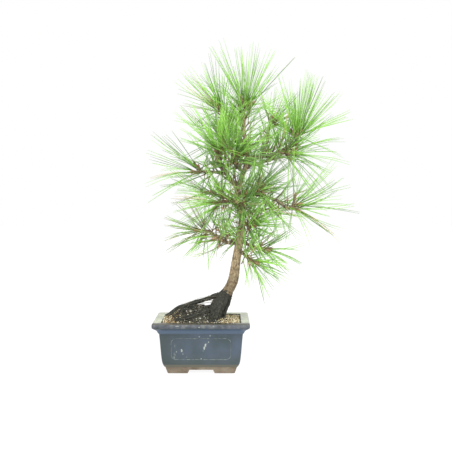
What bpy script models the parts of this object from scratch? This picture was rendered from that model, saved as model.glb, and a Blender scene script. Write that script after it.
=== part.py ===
"""A Japanese black pine grown as a bonsai, with the glazed rectangular pot that it stands in.

Metres, +Z up. The plant is laid out from the middle of the pot's foot, with +X to the right and
-Y towards the viewer. At the end it is moved, so that the origin is on the floor under the
middle of the whole plant.
"""
import math
import random
from typing import NamedTuple

import bmesh
import bpy
from mathutils import Matrix, Vector
from mathutils.bvhtree import BVHTree

GAP = 0.0003                    # left between pieces that touch
CUT_BELOW = 0.004               # how far cutters reach below the floor
UP = Vector((0, 0, 1))
GOLDEN_TURN = math.pi * (3 - math.sqrt(5))

# Pot: sizes across the rim, then its turned-in profile as (height, inset from the rim's edge)
POT_WIDTH = 0.1544
POT_DEPTH = 0.1200
POT_OUTER = (
    (0.0000, 0.0236),           # foot on the floor
    (0.0104, 0.0200),
    (0.0112, 0.0190),           # unglazed band under the glaze
    (0.0143, 0.0170),
    (0.0190, 0.0154),
    (0.0260, 0.0143),
    (0.0400, 0.0131),
    (0.0548, 0.0118),
    (0.0645, 0.0106),
    (0.0660, 0.0094),           # small step under the flare
    (0.0700, 0.0070),
    (0.0728, 0.0034),
    (0.0746, 0.0010),
    (0.0762, 0.0000),           # lip
    (0.0806, 0.0000),
    (0.0820, 0.0014),
)
POT_INNER = (
    (0.0820, 0.0135),
    (0.0720, 0.0145),
    (0.0600, 0.0172),
    (0.0220, 0.0208),
    (0.0140, 0.0240),           # floor inside
)
CORNER_RADIUS = 0.0035
CORNER_STEPS = 3

FOOT_RECESS = 0.0060            # height of the hollow and of the cuts between the feet
FOOT_WALL = 0.0090
FRONT_CUT = (0.0430, 0.0375)    # width at the floor and at its top
SIDE_CUT = (0.0270, 0.0215)

PANEL_LOW = 0.0238              # raised line round each side's panel
PANEL_HIGH = 0.0576
PANEL_MARGIN = 0.0302           # from the panel's line to the rim's edge
PANEL_CORNER = 0.0075
PANEL_LINE = 0.0013
PANEL_RELIEF = 0.0007
PANEL_SINK = 0.0012             # depth of its back in the wall
PANEL_RIDGE = 0.56              # share of its width that its top keeps

# Soil: a level bed with a mound of root ball left of the trunk
SOIL_LEVEL = 0.0772
SOIL_FOOT = 0.0785              # level ground under the trunk
SOIL_FOOT_RADIUS = 0.0215
SOIL_FOOT_SLOPE = 0.5           # share of that radius over which it meets the bed
SOIL_CELLS = (20, 13)
SOIL_TOP = 0.12                 # above the highest soil
MOUNDS = (                      # x, y, half width, half depth, height
    (-0.006, -0.002, 0.038, 0.024, 0.0220),
    (-0.006, -0.018, 0.026, 0.016, 0.0060),
    (-0.040, -0.010, 0.018, 0.022, 0.0095),
)


class Knot(NamedTuple):
    """A place on the trunk's line, and the trunk's radius there."""
    height: float
    x: float
    y: float
    radius: float


# Trunk: a black column of roots, a kink, then a slender leaning stem
TRUNK = (
    Knot(0.070, 0.0150, -0.0105, 0.0185),
    Knot(0.088, 0.0215, -0.0090, 0.0158),
    Knot(0.105, 0.0300, -0.0065, 0.0150),
    Knot(0.116, 0.0360, -0.0040, 0.0128),
    Knot(0.127, 0.0428, -0.0015, 0.0088),
    Knot(0.145, 0.0513, 0.0000, 0.0084),
    Knot(0.177, 0.0564, 0.0010, 0.0072),
    Knot(0.224, 0.0642, 0.0020, 0.0061),
    Knot(0.250, 0.0656, 0.0030, 0.0055),
    Knot(0.288, 0.0580, 0.0030, 0.0047),
    Knot(0.345, 0.0750, 0.0010, 0.0037),
    Knot(0.385, 0.0695, 0.0000, 0.0029),
    Knot(0.416, 0.0690, 0.0000, 0.0024),
)
TRUNK_RINGS = 28
TRUNK_SIDES = 12
FLARE_TOP = 0.124               # the lobes of the root column end here
FLARE_LOBES = 0.13


class Bough(NamedTuple):
    """A tapering limb: bearing is anticlockwise from +X seen from above, rise is above level."""
    on: str
    at: float                   # height on the trunk, or share of the way along a bough
    bearing: float
    rise: float
    length: float
    radius: float
    bow: float = 0.0            # lift of its middle
    tip_radius: float = 0.0021


BOUGH_RINGS = 6
BOUGH_SIDES = 6
BOUGH_WAVER = 0.035             # of its length, to either side
BOUGHS = {
    "leader_left": Bough("trunk", 0.296, -166, 51, 0.0595, 0.0042, 0.000, 0.0033),
    "top_left": Bough("leader_left", 0.93, 26, 78, 0.0740, 0.0030, 0.004),
    "front_left": Bough("leader_left", 0.80, -91, 16, 0.0280, 0.0029),
    "left": Bough("leader_left", 0.62, -166, -3, 0.0290, 0.0026, -0.002),
    "right_top": Bough("trunk", 0.341, -7, 18, 0.0840, 0.0035, -0.004),
    "right_inner": Bough("right_top", 0.35, 71, 60, 0.0540, 0.0026),
    "right_side": Bough("right_top", 0.58, -66, 0, 0.0160, 0.0024),
    "right": Bough("trunk", 0.290, -26, -17, 0.0895, 0.0035, 0.008),
    "front_right": Bough("trunk", 0.278, -60, 12, 0.0505, 0.0029),
    "front_mid": Bough("trunk", 0.322, -117, 17, 0.0480, 0.0027),
    "front": Bough("trunk", 0.256, -88, 15, 0.0490, 0.0028),
    "front_low": Bough("trunk", 0.232, -85, 8, 0.0360, 0.0028),
    "left_mid": Bough("trunk", 0.266, -121, 14, 0.0365, 0.0030),
    "low_left": Bough("trunk", 0.204, -164, 23, 0.0525, 0.0034, -0.006),
    "low_left_front": Bough("low_left", 0.50, -75, 34, 0.0275, 0.0024),
    "low_right": Bough("trunk", 0.196, -65, -21, 0.0290, 0.0031),
    "low_right_side": Bough("trunk", 0.210, -24, -22, 0.0280, 0.0029),
    "back_low": Bough("trunk", 0.219, 88, -9, 0.0430, 0.0030),
    "back_right": Bough("trunk", 0.250, 46, 9, 0.0630, 0.0031),
    "back_left": Bough("trunk", 0.273, 128, 12, 0.0610, 0.0031),
    "back_top_right": Bough("trunk", 0.330, 54, 12, 0.0640, 0.0029),
    "back_top_left": Bough("trunk", 0.356, 127, 19, 0.0600, 0.0027),
}


class Mass(NamedTuple):
    """The needles at the tip of the bough of the same name; the apex is on the trunk's tip."""
    bearing: float              # the way its stem turns, as for a bough
    rise: float
    side_shoots: int
    needle: float               # length of its longest needles


STEM_RADIUS = 0.0021
STEM_LENGTH = 0.022
SIDE_SHOOT = (0.017, 0.023)     # shortest and longest
SIDE_SHOOT_AT = (0.006, 0.013)  # from the stem's foot
SIDE_SHOOT_FORK = (42, 60)      # degrees from the stem
SIDE_SHOOT_LIFT = 0.15          # how strongly side shoots turn up
SHOOT_SIDES = 5
SHOOT_TIP_RADIUS = 0.0006
NEEDLES_ON_STEM = 12
NEEDLES_ON_SIDE = 5
NEEDLE_ROOT_RADIUS = 0.0010
NEEDLE_TIP_RADIUS = 0.0005
NEEDLE_SINK = 0.0009            # from the shoot's middle line to a needle's root
NEEDLE_LEAN = (70, 16)          # degrees from the shoot, at its foot and at its tip
NEEDLE_WAVER = 9
NEEDLE_LIFT = 0.08
NEEDLE_LENGTH = (0.84, 1.0)     # shares of the mass's longest
SPACE_MARGIN = 0.0027           # between needles of neighbouring masses
LIMB_MARGIN = 0.0022            # between a needle's middle line and a limb
SHORTEST_NEEDLE = 0.45          # share of its full length
NEEDLE_STEPS = 24               # places along a needle that are looked at
MASSES = {
    "apex": Mass(0, 77, 3, 0.102),
    "top_left": Mass(165, 62, 2, 0.088),
    "front_left": Mass(-80, 70, 3, 0.088),
    "left": Mass(-176, -2, 1, 0.092),
    "right_top": Mass(-20, 81, 3, 0.100),
    "right_inner": Mass(20, 68, 2, 0.068),
    "right_side": Mass(-10, -6, 1, 0.092),
    "right": Mass(-26, 13, 3, 0.094),
    "front_right": Mass(-45, 28, 2, 0.080),
    "front_mid": Mass(-58, 30, 2, 0.074),
    "front": Mass(-90, 12, 2, 0.070),
    "front_low": Mass(-47, -3, 2, 0.068),
    "left_mid": Mass(-152, -8, 2, 0.078),
    "low_left": Mass(-160, 6, 1, 0.068),
    "low_left_front": Mass(-160, -16, 1, 0.064),
    "low_right": Mass(-34, -24, 1, 0.064),
    "low_right_side": Mass(-18, -12, 1, 0.064),
    "back_low": Mass(118, -16, 2, 0.076),
    "back_right": Mass(40, 8, 2, 0.078),
    "back_left": Mass(138, 10, 2, 0.078),
    "back_top_right": Mass(48, 26, 2, 0.078),
    "back_top_left": Mass(124, 37, 2, 0.078),
}


class Root(NamedTuple):
    """A root laid bare above the soil: places it passes, and its radius at each end."""
    stops: tuple
    thick: float
    thin: float


ROOT_RINGS = 12
ROOT_SIDES = 7
ROOT_CLEARANCE = 1.25           # of its radius, between its middle line and the soil
ROOTS = {
    "left": Root(((0.0280, -0.006, 0.1220), (0.0066, -0.006, 0.1138), (-0.0197, -0.008, 0.1056),
                  (-0.0370, -0.012, 0.0958), (-0.0525, -0.018, 0.0800)), 0.0036, 0.0021),
    "front": Root(((0.0150, -0.014, 0.0960), (-0.0050, -0.027, 0.0900), (-0.0250, -0.033, 0.0840),
                   (-0.0440, -0.035, 0.0785)), 0.0028, 0.0016),
    "back": Root(((0.0260, 0.004, 0.1020), (0.0080, 0.018, 0.0960), (-0.0120, 0.027, 0.0880),
                  (-0.0340, 0.031, 0.0790)), 0.0034, 0.0020),
}

GLAZE = (0.128, 0.165, 0.205)
EARTH = (0.110, 0.092, 0.060)
BARK = (0.250, 0.175, 0.098)
ROOT_BARK = (0.052, 0.052, 0.042)
NEEDLE_GREEN = (0.200, 0.380, 0.085)


def clear_scene():
    for old in list(bpy.data.objects):
        bpy.data.objects.remove(old, do_unlink=True)


def material(name, colour, roughness):
    found = bpy.data.materials.get(name)
    if found:
        return found
    made = bpy.data.materials.new(name)
    made.use_nodes = True
    shader = made.node_tree.nodes["Principled BSDF"]
    shader.inputs["Base Color"].default_value = (*colour, 1.0)
    shader.inputs["Roughness"].default_value = roughness
    shader.inputs["Metallic"].default_value = 0.0
    return made


def new_object(name, bm, finish=None, smooth=False):
    """Turn a bmesh into an object, with its faces pointing out."""
    bmesh.ops.recalc_face_normals(bm, faces=bm.faces[:])
    mesh = bpy.data.meshes.new(name)
    bm.to_mesh(mesh)
    bm.free()
    if smooth:
        mesh.shade_smooth()
        mesh.set_sharp_from_angle(angle=math.radians(40))
    obj = bpy.data.objects.new(name, mesh)
    bpy.context.scene.collection.objects.link(obj)
    if finish:
        mesh.materials.append(finish)
    return obj


def apply_modifiers(obj):
    """Keep the shape that the modifiers give, and drop them."""
    graph = bpy.context.evaluated_depsgraph_get()
    finished = bpy.data.meshes.new_from_object(obj.evaluated_get(graph))
    obj.modifiers.clear()
    obj.data = finished


def drop_scraps(obj):
    """Keep only the largest of an object's loose bodies, which also fills sealed hollows."""
    bm = bmesh.new()
    bm.from_mesh(obj.data)
    left = set(bm.faces)
    bodies = []
    while left:
        waiting = [left.pop()]
        body = set(waiting)
        while waiting:
            for edge in waiting.pop().edges:
                fresh = [face for face in edge.link_faces if face in left]
                left.difference_update(fresh)
                body.update(fresh)
                waiting += fresh
        bodies.append(body)
    largest = max(bodies, key=lambda body: sum(face.calc_area() for face in body))
    scraps = [face for body in bodies if body is not largest for face in body]
    bmesh.ops.delete(bm, geom=scraps, context="FACES")
    bm.to_mesh(obj.data)
    bm.free()


def cut(obj, cutter, operation="DIFFERENCE"):
    """Boolean one object with another, which is then removed."""
    step = obj.modifiers.new("cut", "BOOLEAN")
    step.operation = operation
    step.solver = "EXACT"
    step.object = cutter
    apply_modifiers(obj)
    bpy.data.objects.remove(cutter, do_unlink=True)


def fuse(base, others):
    """Join all the other objects to the base in one union, and remove them."""
    group = bpy.data.collections.new(base.name + "_pieces")
    bpy.context.scene.collection.children.link(group)
    for piece in others:
        group.objects.link(piece)
    step = base.modifiers.new("join", "BOOLEAN")
    step.operation = "UNION"
    step.operand_type = "COLLECTION"
    step.solver = "EXACT"
    step.collection = group
    apply_modifiers(base)
    for piece in others:
        bpy.data.objects.remove(piece, do_unlink=True)
    bpy.data.collections.remove(group)


def heading(bearing, rise):
    """The unit vector that a bearing and a rise in degrees give."""
    level = math.cos(math.radians(rise))
    return Vector((
        level * math.cos(math.radians(bearing)),
        level * math.sin(math.radians(bearing)),
        math.sin(math.radians(rise)),
    ))


def smooth_line(stops, count):
    """Catmull-Rom curve through the stops, as count points."""
    stops = [Vector(stop) for stop in stops]
    padded = [2 * stops[0] - stops[1], *stops, 2 * stops[-1] - stops[-2]]
    line = []
    for i in range(count):
        place = (len(stops) - 1) * i / (count - 1)
        span = min(int(place), len(stops) - 2)
        t = place - span
        a, b, c, d = padded[span:span + 4]
        curve = 2 * b + (c - a) * t + (2 * a - 5 * b + 4 * c - d) * t ** 2
        line.append(0.5 * (curve + (3 * b - a - 3 * c + d) * t ** 3))
    return line


def along(line, share):
    """The point that lies a share of the way along a line."""
    place = share * (len(line) - 1)
    i = min(int(place), len(line) - 2)
    return line[i].lerp(line[i + 1], place - i)


def tangents(line):
    last = len(line) - 1
    return [(line[min(i + 1, last)] - line[max(i - 1, 0)]).normalized() for i in range(last + 1)]


def sideways(direction, near=Vector((1, 0, 0))):
    """A unit vector square to a direction, as near as it can be to another."""
    across = near - direction * near.dot(direction)
    if across.length < 0.1:
        across = UP - direction * UP.dot(direction)
    return across.normalized()


def bridge(bm, rings):
    """Skin from ring to ring, each with as many corners."""
    sides = len(rings[0])
    for lower, upper in zip(rings, rings[1:]):
        for i in range(sides):
            j = (i + 1) % sides
            bm.faces.new((lower[i], lower[j], upper[j], upper[i]))


def tube(line, radii, sides, lobes=None):
    """A closed limb round a line; lobes(angle, place) scales its radius."""
    bm = bmesh.new()
    rings = []
    across = Vector((1, 0, 0))
    for place, direction, radius in zip(line, tangents(line), radii):
        across = sideways(direction, across)
        beside = direction.cross(across)
        ring = []
        for k in range(sides):
            angle = math.tau * k / sides
            reach = radius * (lobes(angle, place) if lobes else 1.0)
            ring.append(bm.verts.new(place + (across * math.cos(angle) + beside * math.sin(angle)) * reach))
        rings.append(ring)
    bridge(bm, rings)
    bm.faces.new(rings[0])
    bm.faces.new(rings[-1])
    return bm


def rounded_rectangle(bm, half_width, half_depth, height, radius):
    """One level ring with round corners, as vertices of a bmesh."""
    ring = []
    for quarter, (sign_x, sign_y) in enumerate(((1, 1), (-1, 1), (-1, -1), (1, -1))):
        for step in range(CORNER_STEPS + 1):
            angle = math.radians(90) * (quarter + step / CORNER_STEPS)
            x = sign_x * (half_width - radius) + radius * math.cos(angle)
            y = sign_y * (half_depth - radius) + radius * math.sin(angle)
            ring.append(bm.verts.new((x, y, height)))
    return ring


def lofted_box(profile):
    """A box whose sides follow a profile of (height, inset), with both ends closed."""
    bm = bmesh.new()
    rings = []
    for height, inset in profile:
        rings.append(rounded_rectangle(bm, POT_WIDTH / 2 - inset, POT_DEPTH / 2 - inset, height, CORNER_RADIUS))
    bridge(bm, rings)
    bm.faces.new(rings[0])
    bm.faces.new(rings[-1])
    return bm


def inset_at(height):
    """How far the pot's outside is set in from the rim's edge at a height."""
    for (low, inset_low), (high, inset_high) in zip(POT_OUTER, POT_OUTER[1:]):
        if low <= height <= high:
            return inset_low + (inset_high - inset_low) * (height - low) / (high - low)
    return POT_OUTER[-1][1]


def block(low, high):
    """A plain box between two corners."""
    bm = bmesh.new()
    bmesh.ops.create_cube(bm, size=1.0)
    size = Vector(high) - Vector(low)
    middle = (Vector(high) + Vector(low)) / 2
    bmesh.ops.transform(bm, matrix=Matrix.Translation(middle) @ Matrix.Diagonal((*size, 1)), verts=bm.verts)
    return bm


def foot_cut(widths, length, turned):
    """A straight cut between the feet, wider at the floor than at its top."""
    bm = bmesh.new()
    low, high = widths
    reach = low / 2 + (low - high) / 2 * CUT_BELOW / FOOT_RECESS
    ends = []
    for y in (-length / 2, length / 2):
        corners = ((-reach, -CUT_BELOW), (reach, -CUT_BELOW), (high / 2, FOOT_RECESS), (-high / 2, FOOT_RECESS))
        ends.append([bm.verts.new((x, y, z)) for x, z in corners])
    bridge(bm, ends)
    bm.faces.new(ends[0])
    bm.faces.new(ends[1])
    if turned:
        bmesh.ops.rotate(bm, verts=bm.verts, matrix=Matrix.Rotation(math.radians(90), 3, "Z"))
    return new_object("foot_cut", bm)


def panel_outline(half_width):
    """Corners of the panel's raised line, as (across, height), with round corners."""
    middle = (PANEL_LOW + PANEL_HIGH) / 2
    half_height = (PANEL_HIGH - PANEL_LOW) / 2
    outline = []
    for quarter, (sign_x, sign_z) in enumerate(((1, 1), (-1, 1), (-1, -1), (1, -1))):
        for step in range(CORNER_STEPS + 1):
            angle = math.radians(90) * (quarter + step / CORNER_STEPS)
            x = sign_x * (half_width - PANEL_CORNER) + PANEL_CORNER * math.cos(angle)
            z = sign_z * (half_height - PANEL_CORNER) + PANEL_CORNER * math.sin(angle)
            outline.append(Vector((x, z + middle)))
    return outline


def panel_line(half_width, half_depth, turn):
    """The raised line of one side's panel, its back sunk in the pot's wall."""
    outline = panel_outline(half_width - PANEL_MARGIN)
    foot, ridge = PANEL_LINE / 2, PANEL_LINE * PANEL_RIDGE / 2
    section = ((-foot, -PANEL_SINK), (foot, -PANEL_SINK), (ridge, PANEL_RELIEF), (-ridge, PANEL_RELIEF))
    bm = bmesh.new()
    rings = []
    count = len(outline)
    for i, point in enumerate(outline):
        ahead = (outline[(i + 1) % count] - outline[i - 1]).normalized()
        outward = Vector((ahead.y, -ahead.x))
        ring = []
        for side, depth in section:
            place = point + outward * side
            ring.append(bm.verts.new((place.x, -(half_depth - inset_at(place.y) + depth), place.y)))
        rings.append(ring)
    rings.append(rings[0])
    bridge(bm, rings)
    bmesh.ops.rotate(bm, verts=bm.verts, matrix=Matrix.Rotation(turn, 3, "Z"))
    return new_object("panel_line", bm)


def make_pot():
    pot = new_object("pot", lofted_box(POT_OUTER + POT_INNER), material("blue_glaze", GLAZE, 0.3), smooth=True)
    lines = []
    for quarter in range(4):
        across, out = (POT_WIDTH, POT_DEPTH) if quarter % 2 == 0 else (POT_DEPTH, POT_WIDTH)
        lines.append(panel_line(across / 2, out / 2, math.radians(90) * quarter))
    fuse(pot, lines)
    foot_width = POT_WIDTH / 2 - POT_OUTER[0][1] - FOOT_WALL
    foot_depth = POT_DEPTH / 2 - POT_OUTER[0][1] - FOOT_WALL
    recess = block((-foot_width, -foot_depth, -CUT_BELOW), (foot_width, foot_depth, FOOT_RECESS))
    cut(pot, new_object("recess", recess))
    cut(pot, foot_cut(FRONT_CUT, POT_DEPTH, turned=False))
    cut(pot, foot_cut(SIDE_CUT, POT_WIDTH, turned=True))
    return pot


def soil_height(x, y):
    """The soil's surface: level near the rim, mounded over the root ball, up to the trunk's foot."""
    height = SOIL_LEVEL
    for mid_x, mid_y, half_width, half_depth, rise in MOUNDS:
        height += rise * math.exp(-((x - mid_x) / half_width) ** 2 - ((y - mid_y) / half_depth) ** 2)
    foot = trunk_foot()
    away = math.hypot(x - foot.x, y - foot.y) / SOIL_FOOT_RADIUS
    blend = min(max((away - 1.0) / SOIL_FOOT_SLOPE, 0.0), 1.0)
    return max(height, SOIL_FOOT + (SOIL_LEVEL - SOIL_FOOT) * blend)


def make_soil():
    """The pot's filling, its top a grid of small facets."""
    filling = [(height, inset + GAP) for height, inset in POT_INNER]
    filling[-1] = (filling[-1][0] + GAP, filling[-1][1])
    filling[0] = (SOIL_TOP, filling[0][1])
    soil = new_object("soil", lofted_box(filling), material("earth", EARTH, 0.95))
    bm = bmesh.new()
    columns, rows = SOIL_CELLS
    grid = []
    for row in range(rows + 1):
        y = POT_DEPTH * (row / rows - 0.5)
        line = []
        for column in range(columns + 1):
            x = POT_WIDTH * (column / columns - 0.5)
            line.append(bm.verts.new((x, y, soil_height(x, y))))
        grid.append(line)
    for row in range(rows):
        for column in range(columns):
            corners = (grid[row][column], grid[row][column + 1], grid[row + 1][column + 1])
            bm.faces.new((*corners, grid[row + 1][column]))
    top = bm.faces[:]
    made = bmesh.ops.extrude_face_region(bm, geom=top)
    for part in made["geom"]:
        if isinstance(part, bmesh.types.BMVert):
            part.co.z = 0.0
    cut(soil, new_object("soil_surface", bm), "INTERSECT")
    cut(soil, enlarged("trunk"))
    return soil


def trunk_line(count=TRUNK_RINGS):
    """The trunk's middle line and its radius at each point."""
    line = smooth_line([(knot.x, knot.y, knot.height) for knot in TRUNK], count)
    radii = [size.x for size in smooth_line([(knot.radius, 0, 0) for knot in TRUNK], count)]
    return line, radii


def trunk_place(height):
    """The point on the trunk's middle line at a height."""
    line, radii = trunk_line(200)
    for low, high in zip(line, line[1:]):
        if low.z <= height <= high.z:
            return low.lerp(high, (height - low.z) / (high.z - low.z))
    return line[-1]


def trunk_foot():
    return trunk_place(SOIL_FOOT)


def root_lobes(angle, place):
    """Lobes round the root column, which die out where the stem begins."""
    fade = min(max((FLARE_TOP - place.z) / 0.03, 0.0), 1.0)
    wave = math.cos(3 * angle + 0.6 + 40 * place.z) + 0.5 * math.cos(5 * angle - 60 * place.z)
    return 1.0 + FLARE_LOBES * fade * wave


def trunk_shape(ground, extra=0.0):
    """The trunk's skin, cut flat at the ground, and thicker all round by extra."""
    line, radii = trunk_line()
    bm = tube(line, [radius + extra for radius in radii], TRUNK_SIDES, root_lobes)
    everything = bm.verts[:] + bm.edges[:] + bm.faces[:]
    made = bmesh.ops.bisect_plane(bm, geom=everything, plane_co=(0, 0, ground), plane_no=UP, clear_inner=True)
    rim = [part for part in made["geom_cut"] if isinstance(part, bmesh.types.BMEdge)]
    bmesh.ops.contextual_create(bm, geom=rim)
    return bm


def make_trunk():
    return new_object("trunk", trunk_shape(SOIL_FOOT + GAP), material("bark", BARK, 0.9), smooth=True)


def bough_line(name, count=BOUGH_RINGS):
    """A bough's middle line, from its parent's middle to its tip, with a slight waver."""
    bough = BOUGHS[name]
    start = trunk_place(bough.at) if bough.on == "trunk" else along(bough_line(bough.on, 40), bough.at)
    chance = random.Random("bough " + name)
    ahead = heading(bough.bearing, bough.rise)
    beside = ahead.cross(UP).normalized()
    above = beside.cross(ahead)
    stops = []
    for step in range(5):
        share = step / 4
        waver = bough.length * BOUGH_WAVER if 0 < step < 4 else 0.0
        stop = start + ahead * bough.length * share + UP * bough.bow * math.sin(math.pi * share)
        stops.append(stop + beside * chance.uniform(-waver, waver) + above * chance.uniform(-waver, waver))
    return smooth_line(stops, count)


def bough_radii(name, count=BOUGH_RINGS):
    bough = BOUGHS[name]
    return [bough.radius + (bough.tip_radius - bough.radius) * i / (count - 1) for i in range(count)]


def enlarged(name):
    """The limb that a bough grows from, made thicker by the gap, as a cutter."""
    if name == "trunk":
        bm = trunk_shape(SOIL_FOOT, GAP)
    else:
        bm = tube(bough_line(name), [radius + GAP for radius in bough_radii(name)], BOUGH_SIDES)
    return new_object("cutter", bm)


def make_bough(name):
    bm = tube(bough_line(name), bough_radii(name), BOUGH_SIDES)
    bough = new_object("bough_" + name, bm, material("bark", BARK, 0.9), smooth=True)
    cut(bough, enlarged(BOUGHS[name].on))
    drop_scraps(bough)
    return bough


def root_line(name, count=ROOT_RINGS):
    """A bare root's middle line, kept just above the soil."""
    root = ROOTS[name]
    line = []
    for i, place in enumerate(smooth_line(root.stops, count)):
        radius = root.thick + (root.thin - root.thick) * i / (count - 1)
        lowest = soil_height(place.x, place.y) + radius * ROOT_CLEARANCE + 2 * GAP
        line.append(Vector((place.x, place.y, max(place.z, lowest))))
    return line


def make_root(name):
    root = ROOTS[name]
    radii = [root.thick + (root.thin - root.thick) * i / (ROOT_RINGS - 1) for i in range(ROOT_RINGS)]
    bm = tube(root_line(name), radii, ROOT_SIDES)
    made = new_object("root_" + name, bm, material("root_bark", ROOT_BARK, 0.95), smooth=True)
    cut(made, enlarged("trunk"))
    drop_scraps(made)
    return made


def around(axis, lean, spin):
    """The unit vector that leans from an axis, turned about it by spin."""
    across = sideways(axis, UP)
    beside = axis.cross(across)
    return axis * math.cos(lean) + (across * math.cos(spin) + beside * math.sin(spin)) * math.sin(lean)


class Shoot(NamedTuple):
    """A twig tip that carries needles."""
    base: Vector
    ahead: Vector
    length: float
    needles: int


def mass_root(name):
    """Where a mass starts, and the way its limb points there."""
    line = trunk_line()[0] if name == "apex" else bough_line(name)
    return line[-1], (line[-1] - line[-2]).normalized()


def shoots(name):
    """The stem of a mass and the side shoots that fork from it."""
    mass = MASSES[name]
    tip, ahead = mass_root(name)
    onward = heading(mass.bearing, mass.rise)
    chance = random.Random("shoots " + name)
    found = [Shoot(tip, onward, STEM_LENGTH, NEEDLES_ON_STEM)]
    first = chance.uniform(0, math.tau)
    for i in range(mass.side_shoots):
        spin = first + math.tau * i / mass.side_shoots + chance.uniform(-0.4, 0.4)
        fork = around(onward, math.radians(chance.uniform(*SIDE_SHOOT_FORK)), spin)
        base = tip + onward * chance.uniform(*SIDE_SHOOT_AT)
        length = chance.uniform(*SIDE_SHOOT)
        found.append(Shoot(base, (fork + UP * SIDE_SHOOT_LIFT).normalized(), length, NEEDLES_ON_SIDE))
    return found


def shoot_spine(shoot, tip, ahead):
    """Middle line and radii of a shoot: the stem leaves its limb straight, then turns."""
    full = STEM_RADIUS * 1.15
    end = shoot.base + shoot.ahead * shoot.length
    if shoot.base == tip:
        start = tip + ahead * GAP
        neck = start + ahead * STEM_RADIUS
        turn = neck + ahead * STEM_RADIUS + shoot.ahead * STEM_RADIUS
    else:
        start = shoot.base
        neck = start + shoot.ahead * STEM_RADIUS
        turn = neck + shoot.ahead * STEM_RADIUS
    line = [start, neck, turn, turn.lerp(end, 0.7), end + shoot.ahead * STEM_RADIUS]
    return line, [STEM_RADIUS, STEM_RADIUS, full, full * 0.85, SHOOT_TIP_RADIUS]


def own_space(point, name, hearts):
    """True where a point is nearer to its own mass than to any other, by a margin."""
    own = (point - hearts[name]).length + SPACE_MARGIN
    return all(own < (point - heart).length for other, heart in hearts.items() if other != name)


def clear_of_limbs(point, limbs):
    return limbs.find_nearest(point, LIMB_MARGIN)[0] is None


def fitting_length(root, ahead, length, name, hearts, limbs):
    """The longest share of a needle that keeps to its space, or zero where it has to go."""
    kept = 1.0
    for step in range(3, NEEDLE_STEPS + 1):
        point = root + ahead * length * step / NEEDLE_STEPS
        if not clear_of_limbs(point, limbs):
            return 0.0
        if not own_space(point, name, hearts):
            kept = (step - 1) / NEEDLE_STEPS
            break
    return kept if kept >= SHORTEST_NEEDLE else 0.0


def needle(root, ahead, length):
    """A three-sided needle."""
    return new_object("needle", tube([root, root + ahead * length], [NEEDLE_ROOT_RADIUS, NEEDLE_TIP_RADIUS], 3))


def needles_of(name, shoot, index, hearts, limbs):
    """Needles set round a shoot by the golden angle, leaning forward towards its tip."""
    chance = random.Random(f"needles {name} {index}")
    foot_lean, tip_lean = NEEDLE_LEAN
    made = []
    first = chance.uniform(0, math.tau)
    for i in range(shoot.needles):
        share = ((i + 0.5) / shoot.needles) ** 0.75
        root = shoot.base + shoot.ahead * shoot.length * (0.25 + 0.70 * share)
        lean = foot_lean + (tip_lean - foot_lean) * share + chance.uniform(-NEEDLE_WAVER, NEEDLE_WAVER)
        spin = first + i * GOLDEN_TURN + chance.uniform(-0.25, 0.25)
        ahead = (around(shoot.ahead, math.radians(lean), spin) + UP * NEEDLE_LIFT).normalized()
        root += around(shoot.ahead, math.radians(90), spin) * NEEDLE_SINK
        length = MASSES[name].needle * chance.uniform(*NEEDLE_LENGTH)
        length *= fitting_length(root, ahead, length, name, hearts, limbs)
        if length:
            made.append(needle(root, ahead, length))
    return made


def make_mass(name, hearts, limbs):
    tip, ahead = mass_root(name)
    pieces = []
    for index, shoot in enumerate(shoots(name)):
        line, radii = shoot_spine(shoot, tip, ahead)
        pieces.append(new_object("shoot", tube(line, radii, SHOOT_SIDES)))
        pieces += needles_of(name, shoot, index, hearts, limbs)
    mass = pieces[0]
    mass.name = "needles_" + name
    fuse(mass, pieces[1:])
    drop_scraps(mass)
    mass.data.materials.clear()
    mass.data.materials.append(material("needle_green", NEEDLE_GREEN, 0.5))
    return mass


def heart(name):
    """The middle of a mass, from which its space is measured."""
    mass = MASSES[name]
    return mass_root(name)[0] + heading(mass.bearing, mass.rise) * STEM_LENGTH


def search_tree(objects):
    """A tree of all the limbs' faces, for distances."""
    points = []
    faces = []
    for obj in objects:
        first = len(points)
        points += [vertex.co.copy() for vertex in obj.data.vertices]
        faces += [[first + i for i in face.vertices] for face in obj.data.polygons]
    return BVHTree.FromPolygons(points, faces)


def stand_over_origin(objects):
    """Move everything so that the origin is on the floor under the middle of its box."""
    points = [vertex.co for obj in objects for vertex in obj.data.vertices]
    middle_x = (min(p.x for p in points) + max(p.x for p in points)) / 2
    middle_y = (min(p.y for p in points) + max(p.y for p in points)) / 2
    for obj in objects:
        obj.data.transform(Matrix.Translation((-middle_x, -middle_y, 0)))


def main():
    clear_scene()
    pot = make_pot()
    soil = make_soil()
    limbs = [make_trunk()]
    limbs += [make_root(name) for name in ROOTS]
    limbs += [make_bough(name) for name in BOUGHS]
    hearts = {name: heart(name) for name in MASSES}
    tree = search_tree(limbs + [pot, soil])
    masses = [make_mass(name, hearts, tree) for name in MASSES]
    stand_over_origin([pot, soil, *limbs, *masses])


main()
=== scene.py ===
"""Looks of a Japanese black pine bonsai and its glazed pot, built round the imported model.

Metres, +Z up. Places are given from the middle of the pot's foot and moved to the pot's own
place at the end of each shape, so they read like the sizes of the real thing.
"""
import math
import random
from typing import NamedTuple

import bmesh
import bpy
from mathutils import Matrix, Vector, noise
from mathutils.bvhtree import BVHTree


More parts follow.
